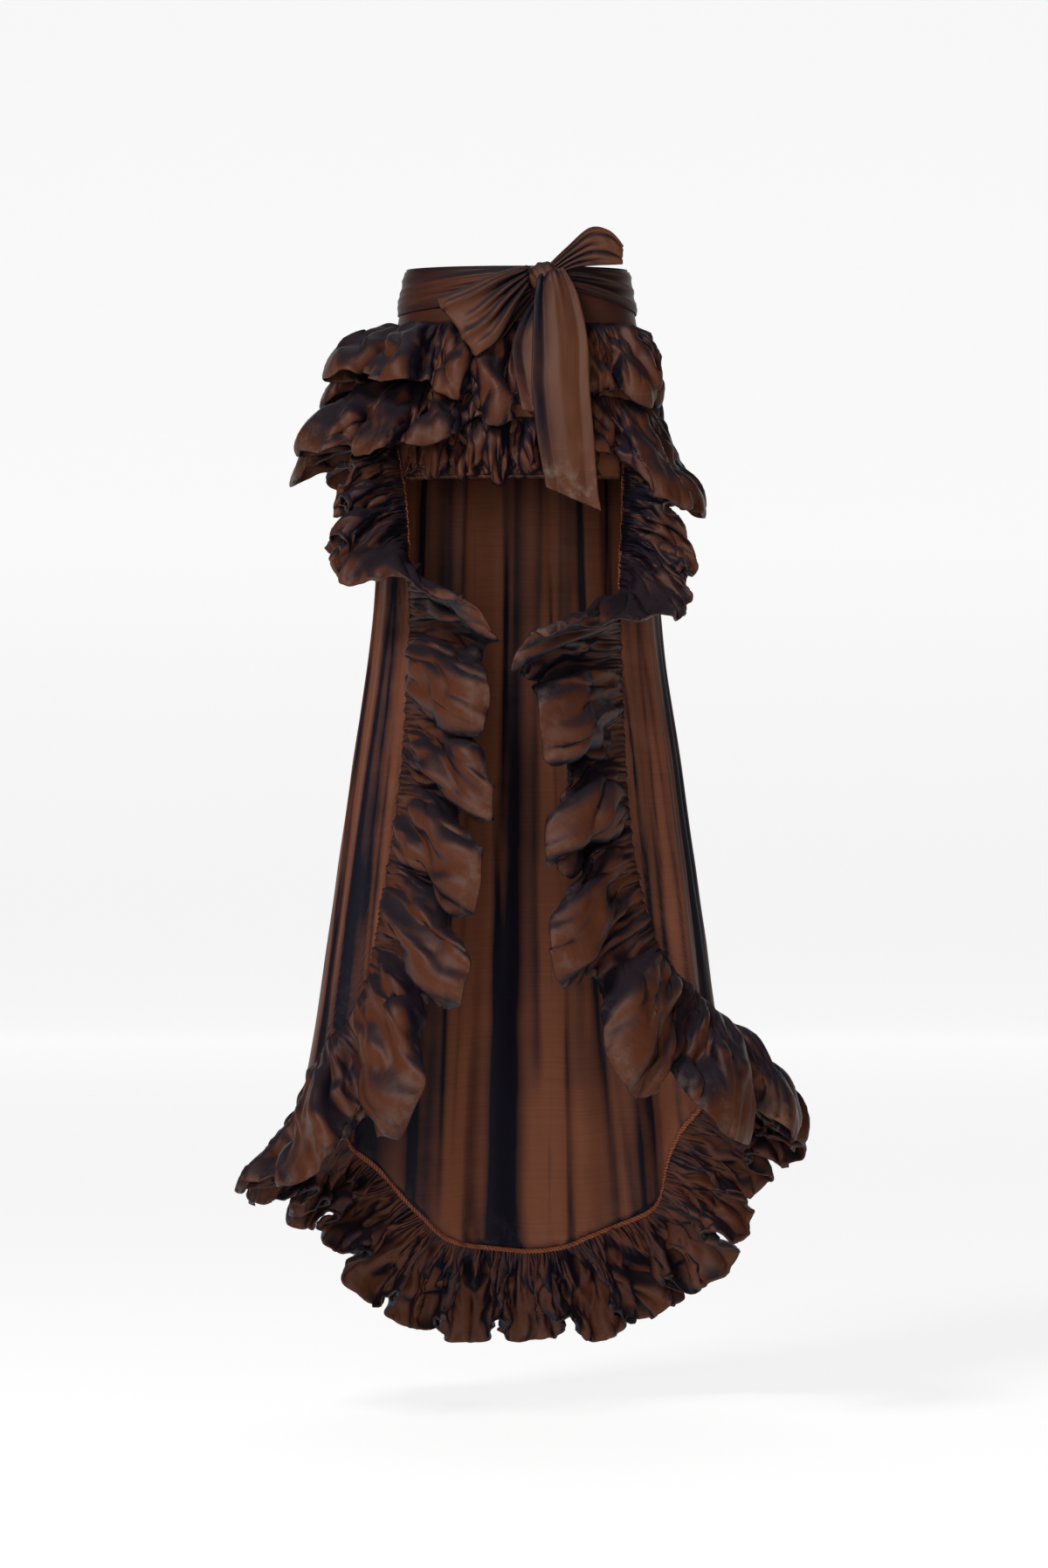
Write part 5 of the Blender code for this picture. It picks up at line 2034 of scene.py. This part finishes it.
@dataclass
class Knot:
    """The bow's knot, a band wrapped over itself."""

    centre: tuple[float, float, float] = (0.0315, -0.1032, -0.0130)
    radii: tuple[float, float, float] = (0.0215, 0.0150, 0.0170)
    wrap_height: float = 0.045
    crease_height: float = 0.03
    groove: float = 0.06
    pinch: float = 0.10
    wear: float = 0.1
    facing: tuple[float, float] = (0.3, 0.85)
    cut_scale: float = 0.11

    def shape(self, ball: Array) -> Array:
        """The wrapped form of a ball.

        Args:
            ball: points of a ball that is one metre in radius.

        Returns:
            The knot's points.
        """
        x, y, z = ball.T
        turn = np.arctan2(y, x)
        wrap = x * 2.4 + z * 1.1
        relief = self.wrap_height * np.cos(2 * np.pi * wrap * 0.9)
        relief = relief + self.crease_height * np.cos(6 * turn + 3 * z)
        relief = relief - self.groove * ridge((x - 0.45 + 0.5 * z) / 0.10, power=2)
        drawn_in = 1 - self.pinch * ridge(z / 0.45, power=2)
        return ball * (0.955 + relief * drawn_in)[:, None] * self.radii + self.centre

    def build(self, finish: bpy.types.Material) -> None:
        """Args:
            finish: the cloth's material.
        """
        for other in bpy.context.selected_objects:
            other.select_set(False)
        bpy.ops.mesh.primitive_uv_sphere_add(segments=64, ring_count=40, radius=1.0)
        made = bpy.context.active_object
        made.name = made.data.name = "knot_cloth"
        count = len(made.data.vertices)
        ball = np.empty(3 * count)
        made.data.vertices.foreach_get("co", ball)
        made.data.vertices.foreach_set("co", self.shape(ball.reshape(-1, 3)).ravel())
        made.data.update()
        bpy.ops.object.mode_set(mode="EDIT")
        bpy.ops.mesh.select_all(action="SELECT")
        bpy.ops.mesh.vertices_smooth(factor=0.35, repeat=1)
        bpy.ops.mesh.normals_make_consistent(inside=False)
        bpy.ops.object.mode_set(mode="OBJECT")
        bpy.ops.object.shade_smooth()
        layer = made.data.uv_layers[0]
        layer.name = "cut"
        cut = np.empty(2 * len(made.data.loops))
        layer.data.foreach_get("uv", cut)
        layer.data.foreach_set("uv", cut * self.cut_scale)
        made.data.materials.append(finish)
        paint_shade_and_wear(made.data, self.facing, np.full(count, self.wear), np.zeros(count))
        join_body(made)
        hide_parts("knot")
        LOG.info("knot: %d faces", len(made.data.polygons))


class Ends(Enum):
    """Where a strip of the bow ends."""

    BOTH_IN_KNOT = "loop"
    ONE_FREE = "tail"


@dataclass(frozen=True)
class BowStrip:
    """A loop or a tail of the bow.

    Fields give its sections, its share of the pleats' height, the columns of its mesh, where it
    ends, how rubbed its far end is, and the seed of its facets.
    """

    name: str
    sections: Table
    pleats: float
    columns: int
    ends: Ends
    wear: float
    seed: int
    rows: int = 40
    thickness: float = SASH_CLOTH
    facing: tuple[float, float] = (0.45, 0.97)

    def relief(self, run: Array, share: Array) -> Array:
        """Its pleats and facets, which its edges and its ends in the knot have less of.

        Args:
            run: how far from the knot each column is, from 0 to 1.
            share: share of its width at each row.

        Returns:
            Heights in metres, columns by rows.
        """
        relief = np.zeros((len(run), len(share)))
        pleats = LOOP_PLEATS if self.ends is Ends.BOTH_IN_KNOT else TAIL_PLEATS
        for at, lean, reach, width, height in zip(*pleats.values()):
            away = share[None, :] - at - lean * run[:, None]
            shown = ease(run / 0.08 + 0.3) * ease((reach - run) / 0.4)
            relief += height * self.pleats * shown[:, None] * ridge(away / width, power=1.4)
        facets = Crush(0.030, 0.0012, self.seed).relief(run[:, None] * 0.2, share[None, :] * 0.06)
        relief += facets * ease(run / 0.3)[:, None]
        return relief * ease(np.minimum(share, 1 - share) / 0.08 + 0.15)[None, :]

    def shade(self, run: Array, share: Array, relief: Array) -> Array:
        """Its painted shade: a loop's darker in its pleats' troughs and a little lighter on their tops, a
        tail's painted shadow along one edge and near the knot.

        Args:
            run: how far from the knot each column is, from 0 to 1.
            share: share of its width at each row.
            relief: its heights.

        Returns:
            What is added to its tone, columns by rows or one value a row.
        """
        if self.ends is Ends.BOTH_IN_KNOT:
            return 0.35 * np.clip(relief / 0.005, -1, 0.2)
        edge = -0.9 * ridge((share[None, :] - 0.12) / 0.15, power=2) * ease((1 - run) / 0.4)[:, None]
        return edge - 0.25 * ease(1 - run / 0.5)[:, None]

    def cloth(self) -> Cloth:
        """The strip as cloth.

        Returns:
            A wall that is thinner at both edges.
        """
        place = np.linspace(0, len(self.sections["x0"]) - 1, self.columns)
        first, second = (
            np.stack([smooth_row(place, self.sections, key) for key in keys], -1)
            for keys in (("x0", "y0", "z0"), ("x1", "y1", "z1"))
        )
        share = np.linspace(0, 1, self.rows)
        grid = first[:, None] + (second - first)[:, None] * share[None, :, None]
        run = place / place[-1]
        if self.ends is Ends.BOTH_IN_KNOT:
            run = 1 - np.abs(2 * run - 1)
        relief = self.relief(run, share)
        grid = grid + grid_normals(grid, False) * relief[..., None]
        rim = np.sqrt(np.clip(1 - np.abs(2 * share - 1) ** 14, 0.05, 1))
        walls = self.thickness * (0.4 + 0.9 * rim)[None, :]
        rubbed = self.wear * ease((run[:, None] - 0.66) / 0.3)
        shade = self.shade(run, share, relief)
        return Cloth(self.name, grid, walls, wear=rubbed, facing=self.facing, shade=shade)


@dataclass
class Bow:
    """The tied bow: knot, two loops and two tails."""

    knot: Knot = field(default_factory=Knot)

    def build(self, finish: bpy.types.Material) -> None:
        """Args:
            finish: the cloth's material.
        """
        self.knot.build(finish)
        loop, tail = Ends.BOTH_IN_KNOT, Ends.ONE_FREE
        pieces = (
            (BowStrip("bow_tail_long", LONG_TAIL, 1.0, 90, tail, 1.0, 61), (0.062, 0.245), Ways.HUNG),
            (BowStrip("bow_tail_short", SHORT_TAIL, 0.8, 60, tail, 0.5, 62), (0.050, 0.135), Ways.HUNG),
            (BowStrip("bow_loop_left", LEFT_LOOP, 1.3, 120, loop, 0.1, 63), (0.066, 0.215), Ways.FOLDED),
            (BowStrip("bow_loop_upper", UPPER_LOOP, 0.9, 110, loop, 0.1, 64), (0.036, 0.15), Ways.FOLDED),
        )
        for strip, flat, held in pieces:
            made = strip.cloth().make(finish)
            Sewn((strip.name,), flat, held, ("knot",)).declare(made)


# -------------------------------------------------------------------------- the studio
@dataclass(frozen=True)
class Softbox:
    """A square soft lamp."""

    name: str
    place: tuple[float, float, float]
    size: float
    power: float

    def build(self, target: tuple[float, float, float]) -> None:
        """Places the lamp so that it looks at a point.

        Args:
            target: the point.
        """
        light = bpy.data.lights.new(self.name, "AREA")
        light.size = self.size
        light.energy = self.power
        made = put(self.name, light)
        made.location = self.place
        x, y, z = np.array(target) - np.array(self.place)
        made.rotation_euler = (math.atan2(math.hypot(x, y), -z), 0, math.atan2(y, x) - math.pi / 2)


@dataclass
class Studio:
    """Floor and backdrop, soft lights and the camera."""

    floor_height: float = -1.27
    floor_front: float = -2.2
    half_width: float = 12.0
    wall_place: float = 12.0
    wall_height: float = 7.0
    bend: float = 1.4
    sky: float = 0.06
    distance: float = 7.0
    view_height: float = 1.724
    film: float = 36.0
    target: tuple[float, float, float] = (0.00768, 0.0, -0.56256)
    lamps: tuple[Softbox, ...] = (
        Softbox("key", (-2.0, -3.8, 2.4), 1.1, 185.0),
        Softbox("front", (-0.6, -6.2, 0.1), 1.8, 125.0),
        Softbox("fill", (2.4, -5.4, -0.2), 2.4, 16.0),
        Softbox("back", (0.0, 1.6, 2.6), 2.4, 10.0),
    )

    def backdrop(self) -> None:
        """Builds a floor that curves up into a wall behind."""
        middle, top = self.wall_place - self.bend, self.floor_height + self.bend
        turns = np.linspace(0, 1, 24) * math.pi / 2
        arc = [(middle + self.bend * math.sin(a), top - self.bend * math.cos(a)) for a in turns]
        line = [(self.floor_front, self.floor_height)] + arc + [(self.wall_place, self.wall_height)]
        points = [(x, y, z) for y, z in line for x in (-self.half_width, self.half_width)]
        faces = [(2 * k, 2 * k + 1, 2 * k + 3, 2 * k + 2) for k in range(len(line) - 1)]
        mesh = bpy.data.meshes.new("backdrop")
        mesh.from_pydata(points, [], faces)
        mesh.shade_smooth()
        mesh.materials.append(StudioPaper().material())
        put("backdrop", mesh)

    def camera(self) -> None:
        """Places the camera level with the target, straight in front of it."""
        camera = bpy.data.cameras.new("camera")
        camera.sensor_width = self.film
        camera.lens = self.film * self.distance / self.view_height
        made = put("camera", camera)
        made.location = (self.target[0], -self.distance, self.target[2])
        made.rotation_euler = (math.pi / 2, 0, 0)
        bpy.context.scene.camera = made

    def build(self) -> None:
        """Builds it all."""
        self.backdrop()
        for lamp in self.lamps:
            lamp.build(self.target)
        world = bpy.data.worlds.new("studio")
        bpy.context.scene.world = world
        world.use_nodes = True
        sky = {"Color": (1, 1, 1, 1), "Strength": self.sky}
        Graph(world.node_tree).feed(world.node_tree.nodes["Background"], sky)
        self.camera()
        bpy.context.scene.view_settings.view_transform = "Standard"


def main() -> None:
    """Builds the pieces round the frame, in order."""
    logging.basicConfig(level=logging.INFO, format="%(name)s: %(message)s")
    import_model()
    Studio().build()
    finish = ShotTaffeta("shot_taffeta_cloth").material()
    worn = ShotTaffeta(
        "shot_taffeta_worn", crest=(0.088, 0.0305, 0.0150), top=(0.026, 0.019, 0.023), roughness=0.46
    )
    # The panels' finish is smoother, and its brown is brighter: painted light for the long skirt's inner
    # side, which the lamps reach less.
    smooth_lit_panel = ShotTaffeta(
        "shot_taffeta_panel", crest=(0.152, 0.0515, 0.0265), roughness=0.50, specular=0.06, crush_depth=0.0010
    )
    Waist().build(finish)
    Bow().build(worn.material())
    LongSkirt().build(smooth_lit_panel.material())
    EdgeRuffle().build(finish, OverlockThread().material())
    Tier("tier_upper", UPPER_TIER, (0.088, 1.90), 21).build(finish)
    Tier("tier_middle", MIDDLE_TIER, (0.102, 2.05), 25).build(finish)
    PuffTier().build(finish)


if __name__ == "__main__":
    main()
